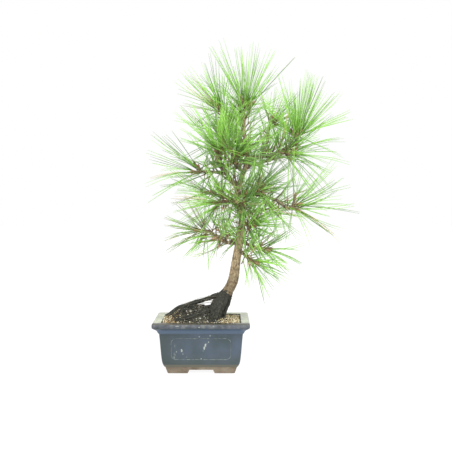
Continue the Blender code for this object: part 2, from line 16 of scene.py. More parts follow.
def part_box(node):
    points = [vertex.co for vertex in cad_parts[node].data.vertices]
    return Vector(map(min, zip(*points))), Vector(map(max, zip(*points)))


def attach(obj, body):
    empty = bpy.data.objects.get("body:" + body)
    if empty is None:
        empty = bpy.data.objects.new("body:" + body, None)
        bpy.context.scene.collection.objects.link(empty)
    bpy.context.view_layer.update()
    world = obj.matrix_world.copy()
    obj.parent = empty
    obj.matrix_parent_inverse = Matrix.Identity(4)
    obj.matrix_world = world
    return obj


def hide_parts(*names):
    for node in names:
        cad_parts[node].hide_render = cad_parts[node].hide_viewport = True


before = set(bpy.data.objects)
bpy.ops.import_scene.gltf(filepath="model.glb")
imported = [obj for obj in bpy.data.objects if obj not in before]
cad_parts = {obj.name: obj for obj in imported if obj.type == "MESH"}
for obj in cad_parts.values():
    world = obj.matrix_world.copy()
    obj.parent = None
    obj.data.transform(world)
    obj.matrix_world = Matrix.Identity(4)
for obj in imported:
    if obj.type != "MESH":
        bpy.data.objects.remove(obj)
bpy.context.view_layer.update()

UP = Vector((0, 0, 1))
GOLDEN_TURN = math.pi * (3 - math.sqrt(5))
QUARTER_TURN = math.radians(90)
POT_LOW, POT_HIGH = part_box("pot")
POT_MIDDLE = Vector(((POT_LOW.x + POT_HIGH.x) / 2, (POT_LOW.y + POT_HIGH.y) / 2, 0))

# The photograph's camera, from the middle of the pot's foot. It looks level, and its picture is
# shifted down, so that uprights stay upright.
CAMERA_PLACE = Vector((0.0395, -1.152, 0.2754))
FOCAL_PIXELS = 700
IMAGE_PIXELS = 452
HORIZON_PIXEL = 200.5           # from the picture's top
SENSOR_WIDTH = 36.0

# Pot
POT_WIDTH = POT_HIGH.x - POT_LOW.x
POT_DEPTH = POT_HIGH.y - POT_LOW.y
CLAY_PROFILE = (                # height, inset from the rim's edge
    (0.0000, 0.0236), (0.0008, 0.0232), (0.0096, 0.0203),
    (0.0104, 0.0199), (0.0108, 0.0192), (0.0112, 0.0189),
)
GLAZE_OUTSIDE = (
    (0.0112, 0.0189), (0.0117, 0.0184), (0.0143, 0.0170), (0.0165, 0.0161),
    (0.0190, 0.0154), (0.0225, 0.0148), (0.0260, 0.0143), (0.0330, 0.0136),
    (0.0400, 0.0130), (0.0475, 0.0124), (0.0548, 0.0118), (0.0610, 0.0112),
    (0.0640, 0.0108), (0.0650, 0.0104), (0.0657, 0.0095), (0.0667, 0.0089),
    (0.0683, 0.0083), (0.0700, 0.0071), (0.0716, 0.0053), (0.0730, 0.0032),
    (0.0742, 0.0014), (0.0750, 0.0006), (0.0760, 0.0001), (0.0775, 0.0000),
    (0.0800, 0.0000), (0.0812, 0.0003), (0.0818, 0.0010), (0.0820, 0.0020),
)
GLAZE_INSIDE = (
    (0.0818, 0.0060), (0.0818, 0.0105), (0.0820, 0.0125),
    (0.0817, 0.0134), (0.0808, 0.0138), (0.0720, 0.0146),
    (0.0600, 0.0172), (0.0220, 0.0208), (0.0140, 0.0240),
)
CORNER_RADIUS = 0.0035
CORNER_STEPS = 6
SIDE_STEPS = 8                  # of each straight side between the corners
FOOT_RECESS = 0.0060
FOOT_WALL = 0.0090
FRONT_CUT = (0.0430, 0.0375)
SIDE_CUT = (0.0270, 0.0215)
CUT_BELOW = 0.0040
PANEL_LOW = 0.0238
PANEL_HIGH = 0.0576
PANEL_MARGIN = 0.0302
PANEL_CORNER = 0.0075
PANEL_CORNER_STEPS = 8
PANEL_LINE = 0.0014
PANEL_RELIEF = 0.0006
PANEL_LINE_SECTION = (-30, 15, 50, 90, 130, 165, 210)    # degrees round its rounded top

LIME_MARKS = (                  # on the pot's front: x, height, half width, half height, strength
    (0.0072, 0.0470, 0.0022, 0.0042, 1.0), (0.0052, 0.0425, 0.0020, 0.0044, 1.0),
    (0.0098, 0.0500, 0.0012, 0.0024, 0.7), (0.0034, 0.0372, 0.0014, 0.0034, 0.6),
    (0.0018, 0.0325, 0.0012, 0.0030, 0.5), (0.0121, 0.0521, 0.0012, 0.0024, 0.9),
    (0.0144, 0.0622, 0.0013, 0.0024, 0.8), (-0.0307, 0.0385, 0.0022, 0.0042, 0.9),
    (-0.0285, 0.0329, 0.0012, 0.0016, 0.8), (-0.0410, 0.0453, 0.0028, 0.0052, 0.6),
    (-0.0421, 0.0295, 0.0034, 0.0100, 0.6), (-0.0386, 0.0363, 0.0014, 0.0016, 0.8),
    (-0.0228, 0.0284, 0.0018, 0.0026, 0.6), (0.0003, 0.0250, 0.0016, 0.0014, 1.0),
    (-0.0026, 0.0605, 0.0017, 0.0010, 0.9), (-0.0026, 0.0774, 0.0017, 0.0016, 1.0),
    (0.0198, 0.0790, 0.0022, 0.0020, 0.8), (-0.0365, 0.0790, 0.0052, 0.0016, 0.8),
    (-0.0230, 0.0796, 0.0040, 0.0010, 0.6),
)

# Soil
SOIL_LEVEL = 0.0772
SOIL_FOOT = 0.0785
SOIL_FOOT_RADIUS = 0.0215
SOIL_FOOT_SLOPE = 0.5
SOIL_INSET = 0.0146             # from the rim's edge to the soil's edge
SOIL_BOTTOM = 0.0145
SOIL_CELLS = (96, 74)
MOUNDS = (                      # x, y, half width, half depth, height
    (-0.006, -0.002, 0.038, 0.024, 0.0220),
    (-0.006, -0.018, 0.026, 0.016, 0.0060),
    (-0.040, -0.010, 0.018, 0.022, 0.0095),
)
GRAIN_COUNT = 6000
SPILT_GRAINS = 90               # that lie on the rim's front
GRAINS_CLEAR = 0.013            # of the middle of the trunk's foot
PERLITE_SHARE = 0.09
GREY_SHARE = 0.22
GRAIN_TONES = {                 # finish, darkest and lightest colour
    "gravel_pale": ("pale_gravel", (188, 180, 152), (224, 216, 190)),
    "gravel_tan": ("tan_gravel", (150, 137, 100), (194, 181, 140)),
    "gravel_brown": ("brown_gravel", (98, 80, 56), (138, 116, 84)),
    "gravel_red": ("red_gravel", (104, 68, 48), (154, 108, 80)),
    "crumbs_dark": ("dark_crumbs", (38, 38, 32), (94, 92, 78)),
    "crumbs_grey": ("grey_crumbs", (100, 98, 84), (158, 154, 138)),
    "perlite": ("white_perlite", (206, 206, 196), (240, 240, 232)),
}


class Knot(NamedTuple):
    height: float
    x: float
    y: float
    radius: float


TRUNK = (
    Knot(0.070, 0.0150, -0.0105, 0.0185),
    Knot(0.088, 0.0215, -0.0090, 0.0158),
    Knot(0.105, 0.0300, -0.0065, 0.0150),
    Knot(0.116, 0.0360, -0.0040, 0.0128),
    Knot(0.127, 0.0428, -0.0015, 0.0088),
    Knot(0.145, 0.0513, 0.0000, 0.0084),
    Knot(0.177, 0.0564, 0.0010, 0.0072),
    Knot(0.224, 0.0642, 0.0020, 0.0061),
    Knot(0.250, 0.0656, 0.0030, 0.0055),
    Knot(0.288, 0.0580, 0.0030, 0.0047),
    Knot(0.345, 0.0750, 0.0010, 0.0037),
    Knot(0.385, 0.0695, 0.0000, 0.0029),
    Knot(0.416, 0.0690, 0.0000, 0.0024),
)
FLARE_TOP = 0.124
FLARE_LOBES = 0.13
BARE_STEM_TOP = 0.197           # no needles cross the stem below this height
BARE_STEM_WIDTH = 0.0085
STEM_PLATES = 520               # of bark, to the metre
BOUGH_PLATES = 420
PLATE_STRETCH = 0.42            # below one, the plates are longer than wide
CRACK_WIDTH = 0.22              # share of a plate
STEM_RINGS = 420
STEM_SIDES = 56
COLUMN_SIDES = 72
STEM_FOOT = 0.1265              # where bark takes over from the black roots


class Bough(NamedTuple):
    on: str
    at: float
    bearing: float
    rise: float
    length: float
    radius: float
    bow: float = 0.0
    tip_radius: float = 0.0021


BOUGHS = {
    "leader_left": Bough("trunk", 0.296, -166, 51, 0.0595, 0.0042, 0.000, 0.0033),
    "top_left": Bough("leader_left", 0.93, 26, 78, 0.0740, 0.0030, 0.004),
    "front_left": Bough("leader_left", 0.80, -91, 16, 0.0280, 0.0029),
    "left": Bough("leader_left", 0.62, -166, -3, 0.0290, 0.0026, -0.002),
    "right_top": Bough("trunk", 0.341, -7, 18, 0.0840, 0.0035, -0.004),
    "right_inner": Bough("right_top", 0.35, 71, 60, 0.0540, 0.0026),
    "right_side": Bough("right_top", 0.58, -66, 0, 0.0160, 0.0024),
    "right": Bough("trunk", 0.290, -26, -17, 0.0895, 0.0035, 0.008),
    "front_right": Bough("trunk", 0.278, -60, 12, 0.0505, 0.0029),
    "front_mid": Bough("trunk", 0.322, -117, 17, 0.0480, 0.0027),
    "front": Bough("trunk", 0.256, -88, 15, 0.0490, 0.0028),
    "front_low": Bough("trunk", 0.232, -85, 8, 0.0360, 0.0028),
    "left_mid": Bough("trunk", 0.266, -121, 14, 0.0365, 0.0030),
    "low_left": Bough("trunk", 0.204, -164, 23, 0.0525, 0.0034, -0.006),
    "low_left_front": Bough("low_left", 0.50, -75, 34, 0.0275, 0.0024),
    "low_right": Bough("trunk", 0.196, -65, -21, 0.0290, 0.0031),
    "low_right_side": Bough("trunk", 0.210, -24, -22, 0.0280, 0.0029),
    "back_low": Bough("trunk", 0.219, 88, -9, 0.0430, 0.0030),
    "back_right": Bough("trunk", 0.250, 46, 9, 0.0630, 0.0031),
    "back_left": Bough("trunk", 0.273, 128, 12, 0.0610, 0.0031),
    "back_top_right": Bough("trunk", 0.330, 54, 12, 0.0640, 0.0029),
    "back_top_left": Bough("trunk", 0.356, 127, 19, 0.0600, 0.0027),
}
BOUGH_RINGS = 6                 # the source's count, so that the tips agree
BOUGH_WAVER = 0.035
COLLAR = 0.35                   # swelling of a bough at its foot
COLLAR_RINGS = 8


class Mass(NamedTuple):
    bearing: float
    rise: float
    side_shoots: int
    needle: float
    tone: str                   # which greens its sprays are dealt
    fullness: float             # its share of the usual count of needles


MASSES = {
    "apex": Mass(0, 77, 3, 0.102, "fresh", 1.45),
    "top_left": Mass(165, 62, 2, 0.088, "mixed", 1.1),
    "front_left": Mass(-80, 70, 3, 0.088, "fresh", 1.5),
    "left": Mass(-176, -2, 1, 0.092, "mixed", 1.25),
    "right_top": Mass(-20, 81, 3, 0.100, "fresh", 1.9),
    "right_inner": Mass(20, 68, 2, 0.068, "mixed", 0.7),
    "right_side": Mass(-10, -6, 1, 0.092, "mixed", 1.0),
    "right": Mass(-26, 13, 3, 0.094, "mixed", 1.0),
    "front_right": Mass(-45, 28, 2, 0.080, "shade", 1.2),
    "front_mid": Mass(-58, 30, 2, 0.074, "shade", 1.9),
    "front": Mass(-90, 12, 2, 0.070, "mixed", 1.7),
    "front_low": Mass(-47, -3, 2, 0.068, "mixed", 1.7),
    "left_mid": Mass(-152, -8, 2, 0.078, "mixed", 1.7),
    "low_left": Mass(-160, 6, 1, 0.068, "dull", 1.35),
    "low_left_front": Mass(-160, -16, 1, 0.064, "dull", 1.0),
    "low_right": Mass(-34, -24, 1, 0.064, "mixed", 1.4),
    "low_right_side": Mass(-18, -12, 1, 0.064, "dull", 1.1),
    "back_low": Mass(118, -16, 2, 0.076, "shade", 0.9),
    "back_right": Mass(40, 8, 2, 0.078, "shade", 0.95),
    "back_left": Mass(138, 10, 2, 0.078, "mixed", 0.85),
    "back_top_right": Mass(48, 26, 2, 0.078, "mixed", 0.85),
    "back_top_left": Mass(124, 37, 2, 0.078, "mixed", 0.8),
}
STEM_RADIUS = 0.0021
STEM_LENGTH = 0.022
SIDE_SHOOT = (0.017, 0.023)
SIDE_SHOOT_AT = (0.006, 0.013)
SIDE_SHOOT_FORK = (42, 60)
SIDE_SHOOT_LIFT = 0.15
FINE_SHOOTS = 3                 # on each stem, besides the source's
FINE_SHOOT = 0.012
FINE_SHOOT_AT = (0.002, 0.010)
FINE_SHOOT_FORK = (50, 75)
FINE_SHOOT_LIFT = 0.2
LIMB_TWIG_STEP = 0.0056         # between the finer twigs along a bough
LIMB_TWIG = (0.008, 0.015)
LIMB_TWIG_RADIUS = 0.0009
LIMB_TWIG_FORK = (40, 72)
LIMB_TWIG_LIFT = 0.3
LIMB_STEPS = 60
TWIG_RINGS = 16
TWIG_THINNING = 0.35            # share of its radius that a twig loses by its tip
LIMB_BARE = 0.30                # share of a bough without twigs, from its foot
TWIGS_ON_TRUNK = {              # lowest and highest, for the apex and for the crown's core
    "apex": (0.300, 0.450),
    "trunk": (0.236, 0.352),
}
CORE_LIMBS = {                  # limbs without a mass: tone, longest needle, fullness
    "leader_left": ("shade", 0.060, 1.3),
    "trunk": ("shade", 0.056, 1.3),
}
GAP = 0.0003

# Needles
PAIRS_ON_STEM = 12
PAIRS_ON_SIDE = 6
PAIRS_ON_FINE = 4
NEEDLE_WIDTH = 0.00098
NEEDLE_LEAN = (64, 10)          # degrees from the shoot, at its foot and at its tip
UPRIGHT_LEAN = 0.70             # share of that on a shoot that stands upright
NEEDLE_WAVER = 18
NEEDLE_LENGTH = (0.68, 1.0)     # shares of the mass's longest
NEEDLES_FROM = 0.22             # share of a shoot that is bare below its needles
NEEDLES_TO = 0.98
NEEDLE_CROWDING = 0.75          # below one, they stand closer towards the tip
NEEDLE_LIFT = 0.12
NEEDLE_CLEARANCE = 0.0012       # from limbs, soil and pot
PAIR_SPREAD = (0.8, 3.0)        # degrees from the pair's middle
SHEATH_LENGTH = 0.0065
LEADING_BUD = 0.0095
SIDE_BUD = 0.0058
STRAIGHT_CURL = 0.05            # share of its length that a young needle's tip bends aside
TANGLED_CURL = 0.18
OLD_NEEDLE = (0.42, 0.85)       # shares of the mass's longest, on the finer twigs

# Sky that shows through the crown from the front, on the upright plane through the pot's middle:
# x, height, half width, half height. Few needles pass through it.
SKY_GAPS = (
    (0.0889, 0.4050, 0.011, 0.011), (0.0745, 0.3995, 0.008, 0.010), (0.1201, 0.4441, 0.007, 0.018),
    (0.1410, 0.3280, 0.012, 0.010), (0.1744, 0.3388, 0.012, 0.008), (0.1152, 0.3420, 0.009, 0.007),
    (0.1860, 0.3700, 0.018, 0.005), (-0.0082, 0.3470, 0.010, 0.011), (-0.0066, 0.3042, 0.009, 0.007),
    (0.0658, 0.3108, 0.010, 0.007), (0.0540, 0.3030, 0.010, 0.009), (0.0420, 0.2730, 0.009, 0.012),
    (0.1270, 0.2770, 0.014, 0.010), (0.1516, 0.2960, 0.007, 0.009), (0.0165, 0.2236, 0.012, 0.008),
    (0.0310, 0.2020, 0.013, 0.012), (0.1317, 0.2005, 0.012, 0.008), (-0.0313, 0.2482, 0.010, 0.007),
    (0.0214, 0.3230, 0.006, 0.005),
)
GAP_NEEDLES = 0.3               # share of the needles there that stay

# The greens, and how often each tone of mass is dealt each of them. Beside the needles' own range of colour,
# the bright and deep greens are painted light and painted shade: the shade tone deals most deep green to
# masses that sit in the crown's shade, and the fresh tone, young upright fans lit from above, deals most
# bright green.
GREENS = {
    "bright": (0.360, 0.720, 0.112),
    "leaf": (0.270, 0.520, 0.106),
    "deep": (0.165, 0.315, 0.078),
    "olive": (0.330, 0.360, 0.140),
    "straw": (0.620, 0.500, 0.240),
}
TONES = {
    "fresh": {"bright": 6, "leaf": 3.5, "deep": 1.8, "olive": 0.3, "straw": 0.1},
    "mixed": {"bright": 4, "leaf": 4, "deep": 2.8, "olive": 0.8, "straw": 0.3},
    "shade": {"bright": 2.5, "leaf": 3.5, "deep": 4.5, "olive": 0.8, "straw": 0.3},
    "dull": {"bright": 3, "leaf": 3.5, "deep": 2.2, "olive": 2.2, "straw": 0.8},
}
MAIN_TONE = 0.45                # share of a spray's needles that take its own green


class Root(NamedTuple):
    stops: tuple
    thick: float
    thin: float


ROOT_RINGS = 12                 # the source's count
ROOT_STEPS = 70
ROOTS = {
    "left": Root(((0.0280, -0.006, 0.1220), (0.0066, -0.006, 0.1138), (-0.0197, -0.008, 0.1056),
                  (-0.0370, -0.012, 0.0958), (-0.0525, -0.018, 0.0800)), 0.0036, 0.0021),
    "front": Root(((0.0150, -0.014, 0.0960), (-0.0050, -0.027, 0.0900), (-0.0250, -0.033, 0.0840),
                   (-0.0440, -0.035, 0.0785)), 0.0028, 0.0016),
    "back": Root(((0.0260, 0.004, 0.1020), (0.0080, 0.018, 0.0960), (-0.0120, 0.027, 0.0880),
                  (-0.0340, 0.031, 0.0790)), 0.0034, 0.0020),
}
STRANDS = 26                    # old roots down the trunk's foot
STRAND_STEPS = 14
WOUND_ROOTS = 6                 # round each thick root
ARM_ROOTS = 22                  # thin roots out of the long left root
FOOT_ROOTS = 90                 # thin roots round the trunk's foot
MOUND_ROOTS = 170
CREEP_STEP = 0.003              # of a thin root over the soil
CREEP_WITHIN = (0.058, 0.039)   # half width and half depth of the bed that it keeps to
DRY_FIBRES = 9
FIBRE_RINGS = 12
LITTER = 60
BARK_CHIPS = (                  # x, y, bearing, half length, half width
    (-0.0075, 0.0040, 8, 0.0100, 0.0040),
    (-0.0300, 0.0180, 120, 0.0060, 0.0030),
)
CHIP_THICKNESS = 0.0016         # half of it


class Pile:
    """Points and faces gathered into one joined mesh."""

    def __init__(self):
        self.points = []
        self.faces = []

    def add(self, points, faces):
        first = len(self.points)
        self.points += points
        self.faces += [tuple(first + i for i in face) for face in faces]

    def tube(self, line, radii, sides, shape=None):
        """A closed limb; shape(angle, run, place) is added to its radius."""
        points = []
        across = Vector((1, 0, 0))
        run = 0.0
        last = len(line) - 1
        for i, (place, radius) in enumerate(zip(line, radii)):
            direction = (line[min(i + 1, last)] - line[max(i - 1, 0)]).normalized()
            if i:
                run += (place - line[i - 1]).length
            across = sideways(direction, across)
            beside = direction.cross(across)
            for k in range(sides):
                angle = math.tau * k / sides
                outward = across * math.cos(angle) + beside * math.sin(angle)
                reach = radius + (shape(angle, run, place + outward * radius) if shape else 0.0)
                points.append(place + outward * reach)
        self.add(points, ring_faces(len(line), sides))

    def make(self, name, finish, smooth=True):
        mesh = bpy.data.meshes.new(name)
        mesh.from_pydata([point + POT_MIDDLE for point in self.points], [], self.faces)
        mesh.validate()
        mesh.materials.append(finish)
        if smooth:
            mesh.shade_smooth()
        obj = bpy.data.objects.new(name, mesh)
        bpy.context.scene.collection.objects.link(obj)
        return obj


def heading(bearing, rise):
    level = math.cos(math.radians(rise))
    return Vector((
        level * math.cos(math.radians(bearing)),
        level * math.sin(math.radians(bearing)),
        math.sin(math.radians(rise)),
    ))


def smooth_line(stops, count):
    """Catmull-Rom curve through the stops, as count points."""
    stops = [Vector(stop) for stop in stops]
    padded = [2 * stops[0] - stops[1], *stops, 2 * stops[-1] - stops[-2]]
    line = []
    for i in range(count):
        place = (len(stops) - 1) * i / (count - 1)
        span = min(int(place), len(stops) - 2)
        t = place - span
        a, b, c, d = padded[span:span + 4]
        curve = 2 * b + (c - a) * t + (2 * a - 5 * b + 4 * c - d) * t ** 2
        line.append(0.5 * (curve + (3 * b - a - 3 * c + d) * t ** 3))
    return line


def along(line, share):
    place = share * (len(line) - 1)
    i = min(int(place), len(line) - 2)
    return line[i].lerp(line[i + 1], place - i)


def resampled(line, count):
    return [along(line, i / (count - 1)) for i in range(count)]


def taper(thick, thin, count):
    return [thick + (thin - thick) * i / (count - 1) for i in range(count)]


def clamp(value):
    return min(max(value, 0.0), 1.0)


def ring_faces(rings, sides):
    """Faces between closed rings of points, with a cap at each end."""
    faces = []
    for i in range(rings - 1):
        for k in range(sides):
            a = i * sides + k
            b = i * sides + (k + 1) % sides
            faces.append((a, b, b + sides, a + sides))
    faces.append(tuple(reversed(range(sides))))
    faces.append(tuple(range((rings - 1) * sides, rings * sides)))
    return faces


def sideways(direction, near=Vector((1, 0, 0))):
    across = near - direction * near.dot(direction)
    if across.length < 0.1:
        across = UP - direction * UP.dot(direction)
    return across.normalized()


def around(axis, lean, spin):
    across = sideways(axis, UP)
    beside = axis.cross(across)
    return axis * math.cos(lean) + (across * math.cos(spin) + beside * math.sin(spin)) * math.sin(lean)


def trunk_line(count=28):
    line = smooth_line([(knot.x, knot.y, knot.height) for knot in TRUNK], count)
    radii = [size.x for size in smooth_line([(knot.radius, 0, 0) for knot in TRUNK], count)]
    return line, radii


TRUNK_STEPS = trunk_line(200)


def trunk_place(height):
    line = TRUNK_STEPS[0]
    for low, high in zip(line, line[1:]):
        if low.z <= height <= high.z:
            return low.lerp(high, (height - low.z) / (high.z - low.z))
    return line[-1]


def trunk_radius(height):
    for place, radius in zip(*TRUNK_STEPS):
        if place.z >= height:
            return radius
    return TRUNK_STEPS[1][-1]


TRUNK_FOOT = trunk_place(SOIL_FOOT)


def bough_line(name, count=BOUGH_RINGS):
    """A bough's middle line by the source's rule."""
    bough = BOUGHS[name]
    start = trunk_place(bough.at) if bough.on == "trunk" else along(bough_line(bough.on, 40), bough.at)
    chance = random.Random("bough " + name)
    ahead = heading(bough.bearing, bough.rise)
    beside = ahead.cross(UP).normalized()
    above = beside.cross(ahead)
    stops = []
    for step in range(5):
        share = step / 4
        waver = bough.length * BOUGH_WAVER if 0 < step < 4 else 0.0
        stop = start + ahead * bough.length * share + UP * bough.bow * math.sin(math.pi * share)
        stops.append(stop + beside * chance.uniform(-waver, waver) + above * chance.uniform(-waver, waver))
    return smooth_line(stops, count)


def soil_height(x, y):
    """The soil's surface by the source's rule."""
    height = SOIL_LEVEL
    for mid_x, mid_y, half_width, half_depth, rise in MOUNDS:
        height += rise * math.exp(-((x - mid_x) / half_width) ** 2 - ((y - mid_y) / half_depth) ** 2)
    away = math.hypot(x - TRUNK_FOOT.x, y - TRUNK_FOOT.y) / SOIL_FOOT_RADIUS
    blend = clamp((away - 1.0) / SOIL_FOOT_SLOPE)
    return max(height, SOIL_FOOT + (SOIL_LEVEL - SOIL_FOOT) * blend)


class Shader:
    """A Principled material with short names for the nodes that feed it."""

    def __init__(self, name, colour, roughness, **values):
        self.material = bpy.data.materials.new(name)
        self.material.use_nodes = True
        self.tree = self.material.node_tree
        self.bsdf = self.tree.nodes["Principled BSDF"]
        self.bsdf.inputs["Base Color"].default_value = (*colour, 1.0)
        self.bsdf.inputs["Roughness"].default_value = roughness
        for key, value in values.items():
            self.bsdf.inputs[key.replace("_", " ")].default_value = value

    def node(self, kind, links=None, **settings):
        made = self.tree.nodes.new(kind)
        for key, value in settings.items():
            setattr(made, key, value)
        for socket, source in (links or {}).items():
            if isinstance(source, bpy.types.NodeSocket):
                self.tree.links.new(source, made.inputs[socket])
            else:
                made.inputs[socket].default_value = source
        return made

    def place(self):
        """Place on the object, measured from the middle of the pot's foot."""
        coordinates = self.node("ShaderNodeTexCoord")
        return self.vector("SUBTRACT", coordinates.outputs["Object"], POT_MIDDLE).outputs[0]

    def vector(self, operation, a, b=(0, 0, 0)):
        return self.node("ShaderNodeVectorMath", {0: a, 1: b}, operation=operation)

    def noise(self, scale, detail=4.0, vector=None, roughness=0.55):
        links = {"Vector": vector or self.place(), "Scale": scale, "Detail": detail, "Roughness": roughness}
        return self.node("ShaderNodeTexNoise", links).outputs["Fac"]

    def stretched(self, factors):
        return self.vector("MULTIPLY", self.place(), factors).outputs[0]

    def ramp(self, factor, stops):
        made = self.node("ShaderNodeValToRGB", {"Fac": factor})
        elements = made.color_ramp.elements
        while len(elements) < len(stops):
            elements.new(0.5)
        for element, (position, colour) in zip(elements, stops):
            element.position = position
            element.color = (*colour, 1.0)
        return made.outputs["Color"]

    def tint(self, base, colour, factor, share):
        """The base turned towards a colour, by the share where the factor is one."""
        if not isinstance(colour, bpy.types.NodeSocket):
            colour = (*colour, 1.0)
        links = {0: self.math("MULTIPLY", factor, share), 6: base, 7: colour}
        return self.node("ShaderNodeMix", links, data_type="RGBA").outputs[2]

    def math(self, operation, a, b):
        return self.node("ShaderNodeMath", {0: a, 1: b}, operation=operation).outputs[0]

    def between(self, value, low, high):
        """Zero below low, one above high, smooth between."""
        links = {"Value": value, "From Min": low, "From Max": high}
        return self.node("ShaderNodeMapRange", links, interpolation_type="SMOOTHSTEP").outputs["Result"]

    def colour(self, source):
        self.tree.links.new(source, self.bsdf.inputs["Base Color"])

    def roughness(self, source):
        self.tree.links.new(source, self.bsdf.inputs["Roughness"])

    def bump(self, height, depth, strength):
        made = self.node("ShaderNodeBump", {"Height": height, "Distance": depth, "Strength": strength})
        self.tree.links.new(made.outputs["Normal"], self.bsdf.inputs["Normal"])


def rgb(red, green, blue):
    """A colour as the eye reads it, 0 to 255, turned linear."""
    found = []
    for value in (red, green, blue):
        share = value / 255
        found.append(share / 12.92 if share <= 0.04045 else ((share + 0.055) / 1.055) ** 2.4)
    return tuple(found)


def lime(s, place):
    """How chalky each point of the pot's front is, from nought to one."""
    marks = None
    for x, height, half_width, half_height, strength in LIME_MARKS:
        away = s.vector("SUBTRACT", place, (x, 0, height)).outputs[0]
        flat = s.vector("MULTIPLY", away, (1 / half_width, 0, 1 / half_height)).outputs[0]
        reach = s.vector("LENGTH", flat).outputs["Value"]
        mark = s.math("MULTIPLY", s.between(reach, 1.25, 0.3), strength)
        marks = mark if marks is None else s.math("MAXIMUM", marks, mark)
    streaky = s.noise(1.0, 5, s.stretched((950, 950, 420)), 0.75)
    chalk = s.between(s.math("ADD", s.math("MULTIPLY", marks, 0.45), streaky), 0.74, 0.98)
    chalk = s.math("MULTIPLY", chalk, s.between(marks, 0.0, 0.25))
    front = s.between(s.node("ShaderNodeSeparateXYZ", {0: place}).outputs["Y"], -0.040, -0.044)
    return s.math("MULTIPLY", chalk, front)


def glaze():
    """Grey-blue satin glaze, bluer under the lip, olive at its lower edge, pale on the rim's top as a painted
    reflection and highlight.
    """
    s = Shader("blue_glaze", rgb(60, 71, 80), 0.36,
               Coat_Weight=0.12, Coat_Roughness=0.2, Specular_IOR_Level=0.4)
    place = s.place()
    parts = s.node("ShaderNodeSeparateXYZ", {0: place})
    height = parts.outputs["Z"]
    body = s.ramp(s.noise(30, 5), ((0.34, rgb(53, 67, 70)), (0.50, rgb(61, 73, 82)), (0.66, rgb(69, 80, 95))))
    body = s.tint(body, rgb(62, 72, 70), s.between(height, 0.036, 0.018), 0.6)
    body = s.tint(body, rgb(50, 61, 59), s.between(parts.outputs["X"], -0.026, -0.058), 0.7)
    flare = s.math("MULTIPLY", s.between(height, 0.0640, 0.0668), s.between(height, 0.0745, 0.0722))
    body = s.tint(body, rgb(77, 95, 117), flare, 0.85)
    lip_tones = ((0.36, rgb(52, 58, 60)), (0.52, rgb(76, 80, 88)), (0.68, rgb(104, 108, 104)))
    body = s.tint(body, s.ramp(s.noise(130, 5), lip_tones), s.between(height, 0.0742, 0.0760), 0.9)
    body = s.tint(body, rgb(56, 54, 58), s.between(height, 0.0802, 0.0810), 0.7)
    body = s.tint(body, rgb(92, 91, 77), s.between(height, 0.0158, 0.0146), 0.9)
    body = s.tint(body, rgb(104, 112, 108), s.between(s.noise(900, 2), 0.66, 0.74), 0.3)
    # Painted reflection and highlight: the rim's top is painted pale where the glossy glaze catches the
    # bright surroundings and the light from above.
    rim_sheen_tones = ((0.34, rgb(158, 166, 144)), (0.56, rgb(178, 183, 160)), (0.74, rgb(198, 200, 176)))
    ragged = s.math("ADD", parts.outputs["Y"], s.math("MULTIPLY", s.noise(160, 3), 0.010))
    dirt = s.between(ragged, -0.0380, -0.0420)
    rim = s.tint(s.ramp(s.noise(80, 4), rim_sheen_tones), rgb(58, 55, 46), dirt, 0.95)
    body = s.tint(body, rim, s.between(height, 0.0811, 0.0816), 0.95)
    chalk = lime(s, place)
    s.colour(s.tint(body, rgb(172, 180, 168), chalk, 0.85))
    s.roughness(s.math("ADD", s.math("MULTIPLY", chalk, 0.4), 0.36))
    s.bump(s.math("ADD", s.noise(70, 2), s.math("MULTIPLY", s.noise(900, 2), 0.06)), 0.0009, 0.35)
    return s.material


def clay():
    """Unglazed brown clay, mottled, with dark grit."""
    s = Shader("brown_clay", rgb(115, 101, 84), 0.85)
    tones = ((0.32, rgb(97, 85, 70)), (0.52, rgb(122, 110, 93)), (0.74, rgb(142, 132, 114)))
    grit = s.between(s.noise(1400, 2), 0.60, 0.72)
    s.colour(s.tint(s.ramp(s.noise(60, 6), tones), rgb(70, 60, 48), grit, 0.5))
    s.bump(s.noise(1100, 3), 0.0004, 0.5)
    return s.material


def bark(name, dark, middle, light, shaded_below=None):
    """Flaky bark; below a height, where it is given, it darkens towards the roots."""
    s = Shader(name, middle, 0.9)
    flakes = s.noise(1.0, 6, s.stretched((400, 400, 230)), 0.65)
    tone = s.ramp(flakes, ((0.36, dark), (0.50, middle), (0.64, light)))
    patches = s.between(s.noise(80, 3), 0.48, 0.62)
    tone = s.tint(tone, light, patches, 0.3)
    if shaded_below:
        height = s.node("ShaderNodeSeparateXYZ", {0: s.place()}).outputs["Z"]
        shade = s.between(height, shaded_below, STEM_FOOT)
        tone = s.tint(tone, dark, shade, 0.62)
    s.colour(tone)
    s.bump(s.noise(1.0, 5, s.stretched((700, 700, 300)), 0.7), 0.0006, 0.7)
    return s.material


def root_skin():
    s = Shader("root_black", rgb(52, 53, 46), 0.85)
    fibres = s.noise(1.0, 5, s.stretched((500, 500, 220)), 0.7)
    tone = s.ramp(fibres, ((0.35, rgb(30, 30, 26)), (0.55, rgb(54, 55, 47)), (0.75, rgb(94, 92, 78))))
    s.colour(tone)
    s.bump(s.noise(900, 4), 0.0006, 0.7)
    return s.material


def crumbs(name, dark, light, scale=700):
    s = Shader(name, light, 0.95)
    s.colour(s.ramp(s.noise(scale, 4), ((0.35, dark), (0.65, light))))
    s.bump(s.noise(scale * 2, 3), 0.0004, 0.6)
    return s.material


def leaf_finish(name, colour):
    return Shader("needle_" + name, colour, 0.34, Specular_IOR_Level=0.5).material


def twig_finish():
    s = Shader("twig_bark", rgb(118, 102, 80), 0.9)
    scales = s.noise(900, 4)
    s.colour(s.ramp(scales, ((0.35, rgb(84, 76, 62)), (0.52, rgb(132, 118, 92)), (0.70, rgb(184, 168, 136)))))
    s.bump(s.noise(1600, 3), 0.0005, 0.7)
    return s.material


